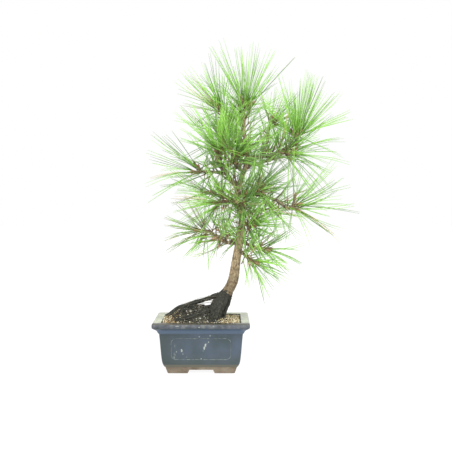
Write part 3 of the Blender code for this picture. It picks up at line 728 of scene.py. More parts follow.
def bud_finish():
    s = Shader("bud_scales", rgb(168, 136, 106), 0.7)
    tones = ((0.36, rgb(124, 94, 68)), (0.52, rgb(170, 134, 100)), (0.70, rgb(216, 194, 162)))
    s.colour(s.ramp(s.noise(1100, 3), tones))
    s.bump(s.noise(1800, 2), 0.0004, 0.6)
    return s.material


def round_corners(half_width, half_height, radius, steps):
    """The four corner arcs of a rectangle with round corners, anticlockwise."""
    arcs = []
    for quarter, (sign_x, sign_y) in enumerate(((1, 1), (-1, 1), (-1, -1), (1, -1))):
        arc = []
        for step in range(steps + 1):
            angle = QUARTER_TURN * (quarter + step / steps)
            x = sign_x * (half_width - radius) + radius * math.cos(angle)
            y = sign_y * (half_height - radius) + radius * math.sin(angle)
            arc.append((x, y))
        arcs.append(arc)
    return arcs


def rounded_ring(half_width, half_depth, height):
    """A level ring with round corners, its straight sides divided too."""
    ring = []
    for arc in round_corners(half_width, half_depth, CORNER_RADIUS, CORNER_STEPS):
        corner = [Vector((x, y, height)) for x, y in arc]
        if ring:
            ring += [ring[-1].lerp(corner[0], step / SIDE_STEPS) for step in range(1, SIDE_STEPS)]
        ring += corner
    ring += [ring[-1].lerp(ring[0], step / SIDE_STEPS) for step in range(1, SIDE_STEPS)]
    return ring


def lofted(pile, profile):
    rings = []
    for height, inset in profile:
        rings.append(rounded_ring(POT_WIDTH / 2 - inset, POT_DEPTH / 2 - inset, height))
    pile.add([point for ring in rings for point in ring], ring_faces(len(rings), len(rings[0])))


def inset_at(height):
    """How far the glazed outside is set in from the rim's edge at a height."""
    for (low, inset_low), (high, inset_high) in zip(GLAZE_OUTSIDE, GLAZE_OUTSIDE[1:]):
        if low <= height <= high:
            return inset_low + (inset_high - inset_low) * (height - low) / (high - low)
    return 0.0


def panel_outline(half_width):
    middle = (PANEL_LOW + PANEL_HIGH) / 2
    half_height = (PANEL_HIGH - PANEL_LOW) / 2
    arcs = round_corners(half_width, half_height, PANEL_CORNER, PANEL_CORNER_STEPS)
    return [Vector((x, z + middle)) for arc in arcs for x, z in arc]


def panel_line(pile, half_width, half_depth, quarter):
    """The raised line of one side's panel, round topped, following the wall's curve."""
    outline = panel_outline(half_width - PANEL_MARGIN)
    turn = Matrix.Rotation(QUARTER_TURN * quarter, 3, "Z")
    count = len(outline)
    section = [(math.cos(angle), math.sin(angle)) for angle in map(math.radians, PANEL_LINE_SECTION)]
    points = []
    for i, point in enumerate(outline):
        ahead = (outline[(i + 1) % count] - outline[i - 1]).normalized()
        outward = Vector((ahead.y, -ahead.x))
        for side, relief in section:
            place = point + outward * PANEL_LINE * 0.5 * side
            depth = PANEL_RELIEF * relief
            points.append(turn @ Vector((place.x, -(half_depth - inset_at(place.y) + depth), place.y)))
    size = len(section)
    faces = []
    for i in range(count):
        for k in range(size):
            a = i * size + k
            b = i * size + (k + 1) % size
            c = ((i + 1) % count) * size
            faces.append((a, b, c + (k + 1) % size, c + k))
    pile.add(points, faces)


def boolean(obj, cutter):
    step = obj.modifiers.new("cut", "BOOLEAN")
    step.operation = "DIFFERENCE"
    step.solver = "EXACT"
    step.object = cutter
    graph = bpy.context.evaluated_depsgraph_get()
    finished = bpy.data.meshes.new_from_object(obj.evaluated_get(graph))
    obj.modifiers.clear()
    obj.data = finished
    bpy.data.objects.remove(cutter, do_unlink=True)


def prism(corners, half_length, turned):
    """A straight bar with the given section, as (across, height) corners."""
    pile = Pile()
    points = [Vector((x, y, z)) for y in (-half_length, half_length) for x, z in corners]
    if turned:
        points = [Vector((-p.y, p.x, p.z)) for p in points]
    count = len(corners)
    faces = [(i, (i + 1) % count, count + (i + 1) % count, count + i) for i in range(count)]
    faces += [tuple(reversed(range(count))), tuple(range(count, 2 * count))]
    pile.add(points, faces)
    obj = pile.make("cutter", None, smooth=False)
    bm = bmesh.new()
    bm.from_mesh(obj.data)
    bmesh.ops.recalc_face_normals(bm, faces=bm.faces[:])
    bm.to_mesh(obj.data)
    bm.free()
    return obj


def foot_section(widths):
    low, high = widths
    reach = low / 2 + (low - high) / 2 * CUT_BELOW / FOOT_RECESS
    return ((-reach, -CUT_BELOW), (reach, -CUT_BELOW), (high / 2, FOOT_RECESS), (-high / 2, FOOT_RECESS))


def finish_piece(obj, slot, *replaced):
    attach(obj, "root")
    if replaced:
        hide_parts(*replaced)


def make_pot():
    base = Pile()
    lofted(base, CLAY_PROFILE)
    feet = base.make("pot_feet", clay())
    half_width = POT_WIDTH / 2 - CLAY_PROFILE[0][1] - FOOT_WALL
    half_depth = POT_DEPTH / 2 - CLAY_PROFILE[0][1] - FOOT_WALL
    hollow = ((-half_width, -CUT_BELOW), (half_width, -CUT_BELOW),
              (half_width, FOOT_RECESS), (-half_width, FOOT_RECESS))
    boolean(feet, prism(hollow, half_depth, turned=False))
    boolean(feet, prism(foot_section(FRONT_CUT), POT_DEPTH / 2, turned=False))
    boolean(feet, prism(foot_section(SIDE_CUT), POT_WIDTH / 2, turned=True))
    feet.data.shade_smooth()
    feet.data.set_sharp_from_angle(angle=math.radians(35))
    finish_piece(feet, "glaze", "pot")
    shell = Pile()
    lofted(shell, GLAZE_OUTSIDE + GLAZE_INSIDE)
    body = shell.make("pot_glazed_body", glaze())
    body.data.set_sharp_from_angle(angle=math.radians(60))
    finish_piece(body, "glaze", "pot")
    lines = Pile()
    for quarter in range(4):
        across, out = (POT_WIDTH, POT_DEPTH) if quarter % 2 == 0 else (POT_DEPTH, POT_WIDTH)
        panel_line(lines, across / 2, out / 2, quarter)
    worn = Shader("glaze_on_edges", rgb(84, 96, 102), 0.4)
    worn.colour(worn.ramp(worn.noise(160, 3), ((0.38, rgb(66, 78, 86)), (0.62, rgb(104, 114, 110)))))
    finish_piece(lines.make("pot_panel_lines", worn.material), "glaze", "pot")


def fissures(place, run, scale, depth):
    """Plates of bark with cracks between them, drawn out along the limb."""
    spot = Vector((place.x * scale, place.y * scale, run * scale * PLATE_STRETCH))
    near, next_near = noise.voronoi(spot)[0][:2]
    crack = min((next_near - near) / CRACK_WIDTH, 1.0)
    rough = noise.fractal(place * scale * 2.2, 1.0, 2.0, 4)
    return depth * (crack - 0.75) + depth * 0.55 * rough


def stem_relief(angle, run, place):
    fade = 1.0 if place.z < 0.30 else 0.7
    return fissures(place, run, STEM_PLATES, 0.00065 * fade)


def bough_relief(angle, run, place):
    knob = 0.00035 * math.sin(run * 620 + 2.0 * math.sin(angle))
    return fissures(place, run, BOUGH_PLATES, 0.00042) + knob


def column_relief(angle, run, place):
    """Lobes and strands of old root round the trunk's foot."""
    fade = clamp((FLARE_TOP + 0.008 - place.z) / 0.03)
    lobes = math.cos(3 * angle + 0.6 + 40 * place.z) + 0.5 * math.cos(5 * angle - 60 * place.z)
    strands = abs(math.sin(4.5 * angle + 55 * place.z + 2 * noise.noise(place * 90)))
    rough = noise.fractal(place * 260, 1.0, 2.0, 4)
    size = 0.0155 * FLARE_LOBES * fade * (lobes * 0.7 - 0.5)
    return size + 0.0011 * (strands - 0.6) + 0.0009 * rough


def make_trunk():
    line, radii = trunk_line(STEM_RINGS)
    stem = Pile()
    above = [i for i, place in enumerate(line) if place.z > STEM_FOOT - 0.004]
    stem.tube([line[i] for i in above], [radii[i] for i in above], STEM_SIDES, stem_relief)
    tan = bark("trunk_bark", rgb(84, 70, 54), rgb(156, 136, 106), rgb(208, 188, 152), shaded_below=0.176)
    finish_piece(stem.make("trunk_stem", tan), "bark", "trunk")
    column = Pile()
    below = [i for i, place in enumerate(line) if SOIL_FOOT - 0.002 < place.z < STEM_FOOT + 0.0005]
    column.tube([line[i] for i in below], [radii[i] for i in below], COLUMN_SIDES, column_relief)
    black = root_skin()
    finish_piece(column.make("root_column", black), "root_bark", "trunk")
    return black


def bough_radii(name, count):
    return taper(BOUGHS[name].radius, BOUGHS[name].tip_radius, count)


def make_boughs():
    pile = Pile()
    for name, bough in BOUGHS.items():
        count = max(24, int(bough.length / 0.0012))
        radii = bough_radii(name, count)
        for i in range(COLLAR_RINGS):
            radii[i] *= 1.0 + COLLAR * (1 - i / COLLAR_RINGS) ** 2
        pile.tube(resampled(bough_line(name), count), radii, 18, bough_relief)
    brown = bark("bough_bark", rgb(74, 65, 54), rgb(120, 107, 88), rgb(174, 158, 132))
    finish_piece(pile.make("boughs", brown), "bark", *["bough_" + name for name in BOUGHS])


def root_line(name, count=ROOT_RINGS):
    root = ROOTS[name]
    line = []
    for place, radius in zip(smooth_line(root.stops, count), taper(root.thick, root.thin, count)):
        lowest = soil_height(place.x, place.y) + radius * 1.25 + 2 * GAP
        line.append(Vector((place.x, place.y, max(place.z, lowest))))
    return line


def root_relief(angle, run, place):
    strands = abs(math.sin(2.5 * angle + run * 120))
    knobs = 0.0010 * noise.noise(place * 130)
    return 0.0007 * (strands - 0.6) + 0.0008 * noise.fractal(place * 300, 1.0, 2.0, 4) + knobs


def wound_roots(pile, name, line, radii):
    """Thin roots that wind along a thick one and stray from it towards its end."""
    chance = random.Random("wound " + name)
    for i in range(WOUND_ROOTS):
        first = int(len(line) * chance.uniform(0.0, 0.4))
        phase = chance.uniform(0, math.tau)
        turns = chance.uniform(-2.2, 2.2)
        radius = chance.uniform(0.0006, 0.0013)
        path = []
        for k in range(first, len(line) - 1, 3):
            share = k / len(line)
            ahead = (line[k + 1] - line[k]).normalized()
            away = radii[k] + radius * (0.2 + 1.6 * share * abs(math.sin(7 * share + phase)))
            place = line[k] + around(ahead, QUARTER_TURN, phase + turns * share * 2) * away
            place.z = max(place.z, soil_height(place.x, place.y) + radius * 0.5)
            path.append(place)
        if len(path) > 4:
            pile.tube(path, [radius * (1 - 0.5 * k / len(path)) for k in range(len(path))], 7)


def make_roots(black):
    pile = Pile()
    for name, root in ROOTS.items():
        line = resampled(root_line(name), ROOT_STEPS)
        radii = taper(root.thick, root.thin, ROOT_STEPS)
        pile.tube(line, radii, 22, root_relief)
        wound_roots(pile, name, line, radii)
    finish_piece(pile.make("bare_roots", black), "root_bark", *["root_" + name for name in ROOTS])


def make_strands(black):
    """Old roots that run together down the trunk's foot and end in the soil."""
    chance = random.Random("strands")
    pile = Pile()
    for i in range(STRANDS):
        spin = math.tau * i / STRANDS + chance.uniform(-0.15, 0.15)
        drift = chance.uniform(-0.7, 0.7)
        wave = chance.uniform(0, math.tau)
        top = chance.uniform(0.100, FLARE_TOP)
        radius = chance.uniform(0.0007, 0.0018)
        line = []
        for step in range(STRAND_STEPS):
            share = step / (STRAND_STEPS - 1)
            height = top + (SOIL_FOOT - top) * share
            angle = spin + drift * share + 0.12 * math.sin(wave + 5 * share)
            away = trunk_radius(height) * (0.90 + 0.12 * share) + 0.003 * share ** 4
            line.append(trunk_place(height) + heading(math.degrees(angle), 0) * away)
        radii = [radius * (0.5 + 0.5 * min(3 * k / STRAND_STEPS, 1.0)) for k in range(STRAND_STEPS)]
        pile.tube(line, radii, 9, root_relief)
    finish_piece(pile.make("root_strands", black), "root_bark")


def fine_root(pile, start, bearing, length, radius, chance, sink=0.65):
    """A thin root that sinks to the soil and creeps over it from a starting point."""
    place = Vector(start)
    line = [place.copy()]
    for step in range(int(length / CREEP_STEP)):
        bearing += chance.uniform(-28, 28)
        place = place + heading(bearing, 0) * CREEP_STEP
        floor = soil_height(place.x, place.y) + radius * chance.uniform(0.3, 1.6)
        place.z += (floor - place.z) * sink
        if abs(place.x) > CREEP_WITHIN[0] or abs(place.y) > CREEP_WITHIN[1]:
            break
        line.append(place.copy())
    if len(line) > 3:
        radii = [radius * (1 - 0.6 * i / len(line)) for i in range(len(line))]
        pile.tube(line, radii, 5)


def make_fine_roots(black):
    """Thin roots round the trunk's foot, over the mound and out of the long root's end."""
    chance = random.Random("fine roots")
    pile = Pile()
    for i in range(FOOT_ROOTS):
        spread = chance.uniform(0, math.tau)
        away = chance.uniform(0.012, 0.019)
        x = TRUNK_FOOT.x + math.cos(spread) * away
        y = TRUNK_FOOT.y + math.sin(spread) * away
        start = (x, y, soil_height(x, y) + chance.uniform(0.001, 0.006))
        length = chance.uniform(0.010, 0.030)
        fine_root(pile, start, math.degrees(spread), length, chance.uniform(0.0003, 0.0009), chance)
    for i in range(MOUND_ROOTS):
        x = chance.uniform(-0.050, 0.010)
        y = chance.uniform(-0.040, 0.026)
        start = (x, y, soil_height(x, y) + 0.001)
        length = chance.uniform(0.012, 0.034)
        fine_root(pile, start, chance.uniform(120, 250), length, chance.uniform(0.0003, 0.0008), chance)
    arm = root_line("left")
    for i in range(ARM_ROOTS):
        start = along(arm, chance.uniform(0.35, 1.0))
        length = chance.uniform(0.016, 0.034)
        fine_root(pile, start, chance.uniform(150, 245), length, chance.uniform(0.0007, 0.0017), chance, 0.25)
    finish_piece(pile.make("fine_roots", black), "root_bark")


def make_dry_fibres():
    """Pale dry hairs of old root that hang over the long root, and litter on the mound."""
    chance = random.Random("dry fibres")
    pile = Pile()
    for i in range(DRY_FIBRES):
        start = trunk_place(chance.uniform(0.100, 0.121)) + Vector((-0.010, chance.uniform(-0.012, 0.004), 0))
        end_x = chance.uniform(-0.042, -0.005)
        end_y = chance.uniform(-0.030, 0.004)
        end = Vector((end_x, end_y, soil_height(end_x, end_y) + chance.uniform(0.0, 0.010)))
        sag = Vector((0, chance.uniform(-0.006, 0.003), chance.uniform(0.001, 0.007)))
        line = smooth_line((start, start.lerp(end, 0.5) + sag, end), FIBRE_RINGS)
        pile.tube(line, [chance.uniform(0.00018, 0.00035)] * FIBRE_RINGS, 4)
    for i in range(LITTER):
        x = chance.uniform(-0.052, 0.040)
        y = chance.uniform(-0.040, 0.030)
        ahead = heading(chance.uniform(0, 360), chance.uniform(-8, 14)) * chance.uniform(0.004, 0.011)
        start = Vector((x, y, soil_height(x, y) + 0.0018)) - ahead
        pile.tube([start, start + ahead, start + 2 * ahead], [0.0003, 0.0004, 0.0002], 4)
    pale = crumbs("dry_fibre", rgb(96, 90, 76), rgb(150, 142, 122))
    finish_piece(pile.make("dry_fibres", pale), "root_bark")


def make_soil():
    """The bed: a fine grid inside the pot's mouth, closed down to the pot's floor."""
    half_width = POT_WIDTH / 2 - SOIL_INSET
    half_depth = POT_DEPTH / 2 - SOIL_INSET
    columns, rows = SOIL_CELLS
    points = []
    for row in range(rows + 1):
        for column in range(columns + 1):
            x = half_width * (2 * column / columns - 1)
            y = half_depth * (2 * row / rows - 1)
            spot = Vector((x, y, 0))
            crumb = 0.0011 * noise.fractal(spot * 260, 1.0, 2.0, 3) + 0.0008 * noise.noise(spot * 90)
            points.append(Vector((x, y, soil_height(x, y) + crumb)))
    faces = []
    wide = columns + 1
    for row in range(rows):
        for column in range(columns):
            a = row * wide + column
            faces.append((a, a + 1, a + wide + 1, a + wide))
    edge = list(range(wide))
    edge += [row * wide + columns for row in range(1, rows + 1)]
    edge += [rows * wide + columns - i for i in range(1, wide)]
    edge += [row * wide for row in range(rows - 1, 0, -1)]
    first = len(points)
    points += [Vector((points[i].x * 0.92, points[i].y * 0.90, SOIL_BOTTOM)) for i in edge]
    count = len(edge)
    for k in range(count):
        n = (k + 1) % count
        faces.append((edge[n], edge[k], first + k, first + n))
    faces.append(tuple(reversed(range(first, first + count))))
    pile = Pile()
    pile.add(points, faces)
    earth = crumbs("dark_earth", rgb(46, 45, 38), rgb(90, 86, 70), 500)
    finish_piece(pile.make("soil_bed", earth), "soil", "soil")


def lump():
    """Corners and faces of a low round lump."""
    bm = bmesh.new()
    bmesh.ops.create_icosphere(bm, subdivisions=1, radius=1.0)
    bm.verts.ensure_lookup_table()
    found = ([v.co.copy() for v in bm.verts], [tuple(v.index for v in f.verts) for f in bm.faces])
    bm.free()
    return found


LUMP_CORNERS, LUMP_FACES = lump()


def grain(pile, place, size, chance):
    angle = chance.uniform(0, math.tau)
    turn = Matrix.Rotation(angle, 3, heading(chance.uniform(0, 360), chance.uniform(-90, 90)))
    stretch = Vector((chance.uniform(0.8, 1.25), chance.uniform(0.7, 1.1), chance.uniform(0.55, 0.9))) * size
    points = []
    for corner in LUMP_CORNERS:
        worn = corner * chance.uniform(0.78, 1.12)
        points.append(place + turn @ Vector((worn.x * stretch.x, worn.y * stretch.y, worn.z * stretch.z)))
    pile.add(points, LUMP_FACES)


def make_chips():
    """Flat bits of bark that lie on the mound."""
    chance = random.Random("chips")
    pile = Pile()
    for x, y, bearing, half_length, half_width in BARK_CHIPS:
        turn = Matrix.Rotation(math.radians(bearing), 3, "Z") @ Matrix.Rotation(math.radians(12), 3, "X")
        middle = Vector((x, y, soil_height(x, y) + 0.0035))
        points = []
        for corner in LUMP_CORNERS:
            worn = corner * chance.uniform(0.85, 1.1)
            flat = Vector((worn.x * half_length, worn.y * half_width, worn.z * CHIP_THICKNESS))
            points.append(middle + turn @ flat)
        pile.add(points, LUMP_FACES)
    brown = crumbs("chip_brown", rgb(108, 90, 66), rgb(160, 138, 106))
    finish_piece(pile.make("bark_chips", brown), "soil")


def gravel_share(x, y):
    """How much of the surface is gravel: the right end, the left end and the edges."""
    right = clamp((x - 0.026) / 0.010)
    left = clamp((-0.030 - x) / 0.012)
    front = clamp((-0.034 - y) / 0.010) * 0.12
    back = clamp((y - 0.028) / 0.010) * 0.8
    return max(right, left * 0.85, front, back)


def make_grains():
    """Gravel at the ends, dark crumbs elsewhere, heaped a little towards the rim."""
    chance = random.Random("grains")
    finishes = {kind: crumbs(name, rgb(*dark), rgb(*light))
                for kind, (name, dark, light) in GRAIN_TONES.items()}
    kinds = {kind: Pile() for kind in finishes}
    half_width = POT_WIDTH / 2 - SOIL_INSET - 0.0012
    half_depth = POT_DEPTH / 2 - SOIL_INSET - 0.0012
    for i in range(GRAIN_COUNT):
        x = chance.uniform(-half_width, half_width)
        y = chance.uniform(-half_depth, half_depth)
        if math.hypot(x - TRUNK_FOOT.x, y - TRUNK_FOOT.y) < GRAINS_CLEAR:
            continue
        if chance.random() < gravel_share(x, y):
            weights = (3, 5, 4, 0) if x > 0 else (2, 3, 4, 2)
            kind = chance.choices(("gravel_pale", "gravel_tan", "gravel_brown", "gravel_red"), weights)[0]
            size = chance.uniform(0.0009, 0.0016)
            lift = chance.uniform(0.0002, 0.0030)
        elif chance.random() < PERLITE_SHARE:
            kind = "perlite"
            size = chance.uniform(0.0005, 0.0010)
            lift = chance.uniform(0.0006, 0.0022)
        else:
            kind = "crumbs_grey" if chance.random() < GREY_SHARE else "crumbs_dark"
            size = chance.uniform(0.0005, 0.0013)
            lift = chance.uniform(0.0002, 0.0016)
        grain(kinds[kind], Vector((x, y, soil_height(x, y) + lift)), size, chance)
    for i in range(SPILT_GRAINS):
        x = chance.uniform(-0.060, 0.055)
        y = -POT_DEPTH / 2 + SOIL_INSET * chance.uniform(0.15, 1.0) ** 0.7
        size = chance.uniform(0.0004, 0.0010)
        kind = chance.choices(("crumbs_dark", "gravel_brown", "gravel_tan"), (7, 1, 1))[0]
        grain(kinds[kind], Vector((x, y, POT_HIGH.z + size * 0.5)), size, chance)
    for kind, pile in kinds.items():
        finish_piece(pile.make(kind, finishes[kind], smooth=False), "soil")


class Shoot(NamedTuple):
    base: Vector
    ahead: Vector
    length: float
    pairs: int
    radius: float
    needle: float               # the longest that it bears


def mass_root(name):
    line = trunk_line()[0] if name == "apex" else bough_line(name)
    return line[-1], (line[-1] - line[-2]).normalized()


def shoots(name):
    """The stem of a mass and its side shoots by the source's rule, then finer ones between them."""
    mass = MASSES[name]
    tip, ahead = mass_root(name)
    onward = heading(mass.bearing, mass.rise)
    chance = random.Random("shoots " + name)
    on_stem = round(PAIRS_ON_STEM * mass.fullness)
    on_side = round(PAIRS_ON_SIDE * mass.fullness)
    found = [Shoot(tip, onward, STEM_LENGTH, on_stem, STEM_RADIUS, mass.needle)]
    first = chance.uniform(0, math.tau)
    for i in range(mass.side_shoots):
        spin = first + math.tau * i / mass.side_shoots + chance.uniform(-0.4, 0.4)
        fork = around(onward, math.radians(chance.uniform(*SIDE_SHOOT_FORK)), spin)
        base = tip + onward * chance.uniform(*SIDE_SHOOT_AT)
        length = chance.uniform(*SIDE_SHOOT)
        lifted = (fork + UP * SIDE_SHOOT_LIFT).normalized()
        found.append(Shoot(base, lifted, length, on_side, STEM_RADIUS, mass.needle))
    chance = random.Random("fine shoots " + name)
    for i in range(FINE_SHOOTS):
        lean = math.radians(chance.uniform(*FINE_SHOOT_FORK))
        fork = around(onward, lean, first + chance.uniform(0, math.tau))
        base = tip + onward * chance.uniform(*FINE_SHOOT_AT)
        lifted = (fork + UP * FINE_SHOOT_LIFT).normalized()
        needle = mass.needle * OLD_NEEDLE[1]
        found.append(Shoot(base, lifted, FINE_SHOOT, PAIRS_ON_FINE, STEM_RADIUS * 0.5, needle))
    return found


def bearing_limb(name):
    """The line and radii of the stretch of limb that bears a mass's finer twigs."""
    if name in BOUGHS:
        return resampled(bough_line(name), LIMB_STEPS), bough_radii(name, LIMB_STEPS)
    low, high = TWIGS_ON_TRUNK[name]
    steps = [(place, radius) for place, radius in zip(*TRUNK_STEPS) if low < place.z < high]
    return [place for place, radius in steps], [radius for place, radius in steps]


def limb_twigs(name, needle, fullness, bare=LIMB_BARE):
    """Finer twigs along the outer part of a limb, which fill the crown's inside."""
    line, radii = bearing_limb(name)
    chance = random.Random("limb twigs " + name)
    length = sum((b - a).length for a, b in zip(line, line[1:])) * (1 - bare)
    count = round(length / LIMB_TWIG_STEP * fullness)
    first = chance.uniform(0, math.tau)
    found = []
    for i in range(count):
        share = bare + (1 - bare) * (i + chance.uniform(0.2, 0.8)) / count
        at = min(int(share * (len(line) - 1)), len(line) - 2)
        ahead = (line[at + 1] - line[at]).normalized()
        spin = first + i * GOLDEN_TURN + chance.uniform(-0.4, 0.4)
        fork = around(ahead, math.radians(chance.uniform(*LIMB_TWIG_FORK)), spin)
        base = line[at] + around(ahead, QUARTER_TURN, spin) * radii[at] * 0.5
        lifted = (fork + UP * LIMB_TWIG_LIFT).normalized()
        longest = needle * chance.uniform(*OLD_NEEDLE)
        length = chance.uniform(*LIMB_TWIG) + radii[at] * 0.5
        found.append(Shoot(base, lifted, length, PAIRS_ON_FINE, LIMB_TWIG_RADIUS, longest))
    return found


def shoot_line(shoot, ahead):
    """A twig's middle line; the stem of a mass leaves its limb straight, then turns."""
    end = shoot.base + shoot.ahead * shoot.length
    turn = shoot.base + (ahead + shoot.ahead) * STEM_RADIUS
    return smooth_line((shoot.base, turn, turn.lerp(end, 0.5), end), TWIG_RINGS)


def scales(angle, run, place):
    """Spiral rows of stubs where older needles grew."""
    return 0.00045 * math.sin(5 * angle + run * 1500) + 0.0003 * noise.noise(place * 700)


def bud(pile, place, ahead, length, radius):
    """A pointed bud with overlapping scales."""
    line = [place + ahead * length * share for share in (0, 0.12, 0.3, 0.5, 0.7, 0.86, 1.0)]
    radii = [radius * size for size in (0.55, 0.85, 1.0, 0.95, 0.72, 0.42, 0.08)]
    pile.tube(line, radii, 9, lambda angle, run, at: radius * 0.16 * math.sin(4 * angle + run * 2600))


def bent_needle(pile, root, ahead, length, width, bend):
    """A slender three-sided needle with a slight bend."""
    line = [root + ahead * length * share + bend * share * share for share in (0.0, 0.35, 0.7, 1.0)]
    pile.tube(line, [width * 0.48, width * 0.55, width * 0.48, width * 0.18], 3)


def clear_of_limbs(points, limbs):
    return all(limbs.find_nearest(point, NEEDLE_CLEARANCE)[0] is None for point in points)


def crosses_stem(points):
    """Whether a needle would hang over the bare stem as seen from the front."""
    return any(point.z < BARE_STEM_TOP and abs(point.x - trunk_place(point.z).x) < BARE_STEM_WIDTH
               for point in points)


def fills_gap(points):
    """Whether a needle would hang in one of the gaps that the front view looks through."""
    for point in points:
        scale = CAMERA_PLACE.y / (CAMERA_PLACE.y - point.y)
        x = CAMERA_PLACE.x + (point.x - CAMERA_PLACE.x) * scale
        z = CAMERA_PLACE.z + (point.z - CAMERA_PLACE.z) * scale
        for mid_x, mid_z, half_width, half_height in SKY_GAPS:
            if math.hypot((x - mid_x) / half_width, (z - mid_z) / half_height) < 1.0:
                return True
    return False


def dealt(weights, chance):
    return chance.choices(list(weights), list(weights.values()))[0]


def needle_pairs(shoot, tone, greens, sheaths, limbs, chance):
    """Paired needles set round a shoot by the golden angle, leaning forward towards its tip."""
    first = chance.uniform(0, math.tau)
    weights = TONES[tone]
    main = dealt(weights, chance)
    curl = STRAIGHT_CURL if tone == "fresh" else TANGLED_CURL
    upright = 1.0 - (1.0 - UPRIGHT_LEAN) * max(shoot.ahead.z, 0.0) ** 4
    for i in range(shoot.pairs):
        share = (i + 0.5) / shoot.pairs
        crowded = share ** NEEDLE_CROWDING
        reach = NEEDLES_FROM + (NEEDLES_TO - NEEDLES_FROM) * crowded
        root = shoot.base + shoot.ahead * shoot.length * reach
        lean = NEEDLE_LEAN[0] + (NEEDLE_LEAN[1] - NEEDLE_LEAN[0]) * crowded
        lean = math.radians(lean * upright + chance.uniform(-NEEDLE_WAVER, NEEDLE_WAVER))
        spin = first + i * GOLDEN_TURN + chance.uniform(-0.25, 0.25)
        ahead = (around(shoot.ahead, lean, spin) + UP * NEEDLE_LIFT).normalized()
        root += around(shoot.ahead, QUARTER_TURN, spin) * shoot.radius * 0.7
        shortest, longest = NEEDLE_LENGTH
        length = shoot.needle * (longest - (longest - shortest) * chance.random() ** 2)
        kind = main if chance.random() < MAIN_TONE and main != "straw" else dealt(weights, chance)
        split = around(ahead, QUARTER_TURN, chance.uniform(0, math.tau))
        spread = math.tan(math.radians(chance.uniform(*PAIR_SPREAD)))
        bend = around(ahead, QUARTER_TURN, chance.uniform(0, math.tau))
        bend = bend * length * chance.uniform(0.0, curl)
        bend += UP * length * chance.uniform(-curl, 0.7 * curl)
        sample = [root + ahead * length * k / 12 for k in range(2, 13)]
        if crosses_stem(sample) or not clear_of_limbs([point + POT_MIDDLE for point in sample], limbs):
            continue
        if fills_gap(sample) and chance.random() > GAP_NEEDLES:
            continue
        sheaths.tube([root, root + ahead * SHEATH_LENGTH], [NEEDLE_WIDTH * 0.85, NEEDLE_WIDTH * 0.6], 5)
        for side in (-1, 1):
            way = (ahead + split * spread * side).normalized()
            start = root + ahead * SHEATH_LENGTH * 0.7 + split * NEEDLE_WIDTH * 0.25 * side
            bent_needle(greens[kind], start, way, length - SHEATH_LENGTH * 0.7, NEEDLE_WIDTH, bend)


def shoot_buds(buds, shoot, leading, chance):
    end = shoot.base + shoot.ahead * (shoot.length - 0.001)
    size = LEADING_BUD if leading else SIDE_BUD
    bud(buds, end, shoot.ahead, size, size * 0.24)
    for i in range(4 if leading else 2):
        way = around(shoot.ahead, math.radians(28), chance.uniform(0, math.tau))
        bud(buds, end, way, size * 0.65, size * 0.16)


def make_masses(limbs):
    greens = {name: Pile() for name in GREENS}
    sheaths = Pile()
    twigs = Pile()
    buds = Pile()
    sprays = [(name, mass.tone, shoots(name), limb_twigs(name, mass.needle, mass.fullness))
              for name, mass in MASSES.items()]
    sprays += [(name, tone, [], limb_twigs(name, needle, fullness, 0.0))
               for name, (tone, needle, fullness) in CORE_LIMBS.items()]
    for name, tone, tip_shoots, fine in sprays:
        for index, shoot in enumerate(tip_shoots + fine):
            chance = random.Random(f"pairs {name} {index}")
            radii = [shoot.radius * (1.0 - TWIG_THINNING * i / (TWIG_RINGS - 1)) for i in range(TWIG_RINGS)]
            leading = index == 0 and bool(tip_shoots)
            ahead = mass_root(name)[1] if leading else shoot.ahead
            twigs.tube(shoot_line(shoot, ahead), radii, 10, scales)
            needle_pairs(shoot, tone, greens, sheaths, limbs, chance)
            if index < len(tip_shoots):
                shoot_buds(buds, shoot, leading, chance)
    replaced = ["needles_" + name for name in MASSES]
    finish_piece(twigs.make("twigs", twig_finish()), "bark", *replaced)
    brown = crumbs("sheath_brown", rgb(128, 116, 74), rgb(184, 168, 118), 900)
    finish_piece(sheaths.make("needle_sheaths", brown), "needles")
    finish_piece(buds.make("buds", bud_finish()), "bark")
    for name, pile in greens.items():
        if pile.faces:
            finish_piece(pile.make("needles_" + name, leaf_finish(name, GREENS[name])), "needles")


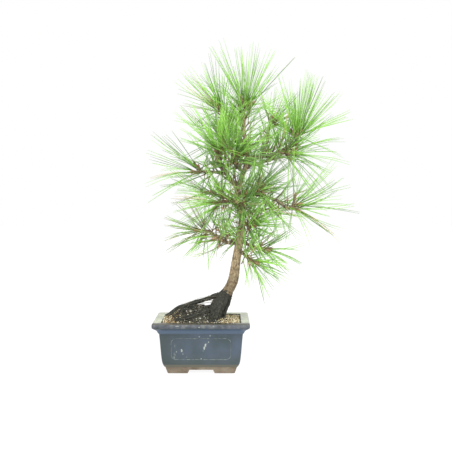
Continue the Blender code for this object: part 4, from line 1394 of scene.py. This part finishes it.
def limb_tree():
    """A search tree of the trunk, boughs, roots, soil and pot as packed."""
    points = []
    faces = []
    for name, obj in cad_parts.items():
        if name.startswith("needles_"):
            continue
        first = len(points)
        points += [vertex.co.copy() for vertex in obj.data.vertices]
        faces += [[first + i for i in face.vertices] for face in obj.data.polygons]
    return BVHTree.FromPolygons(points, faces)


def make_stage():
    bpy.ops.mesh.primitive_plane_add(size=12)
    floor = bpy.context.object
    floor.name = "floor"
    pale = Shader("floor_white", (0.09, 0.09, 0.09), 0.9, Emission_Color=(1, 1, 1, 1), Emission_Strength=0.91)
    floor.data.materials.append(pale.material)
    world = bpy.data.worlds.new("studio")
    bpy.context.scene.world = world
    world.use_nodes = True
    background = world.node_tree.nodes["Background"]
    background.inputs["Color"].default_value = (1.0, 1.0, 1.0, 1.0)
    background.inputs["Strength"].default_value = 1.0


def soft_sun(name, place, strength, angle):
    """Even light from far away, from the given side."""
    data = bpy.data.lights.new(name, "SUN")
    data.energy = strength
    data.angle = math.radians(angle)
    lamp = bpy.data.objects.new(name, data)
    lamp.rotation_euler = Vector(place).to_track_quat("Z", "Y").to_euler()
    bpy.context.scene.collection.objects.link(lamp)


def make_lights():
    soft_sun("key", (0.55, -0.60, 1.00), 2.2, 25)
    soft_sun("fill", (-0.45, -1.00, 0.28), 1.6, 60)


def make_camera():
    data = bpy.data.cameras.new("camera")
    data.sensor_fit = "HORIZONTAL"
    data.sensor_width = SENSOR_WIDTH
    data.lens = FOCAL_PIXELS * SENSOR_WIDTH / IMAGE_PIXELS
    data.shift_y = (HORIZON_PIXEL - IMAGE_PIXELS / 2) / IMAGE_PIXELS
    camera = bpy.data.objects.new("camera", data)
    camera.location = CAMERA_PLACE + POT_MIDDLE
    camera.rotation_euler = (QUARTER_TURN, 0, 0)
    bpy.context.scene.collection.objects.link(camera)
    bpy.context.scene.camera = camera


def main():
    make_camera()
    make_stage()
    make_lights()
    bpy.context.scene.view_settings.view_transform = "Standard"
    make_pot()
    black = make_trunk()
    make_boughs()
    make_roots(black)
    make_strands(black)
    make_fine_roots(black)
    make_dry_fibres()
    make_soil()
    make_grains()
    make_chips()
    make_masses(limb_tree())


main()
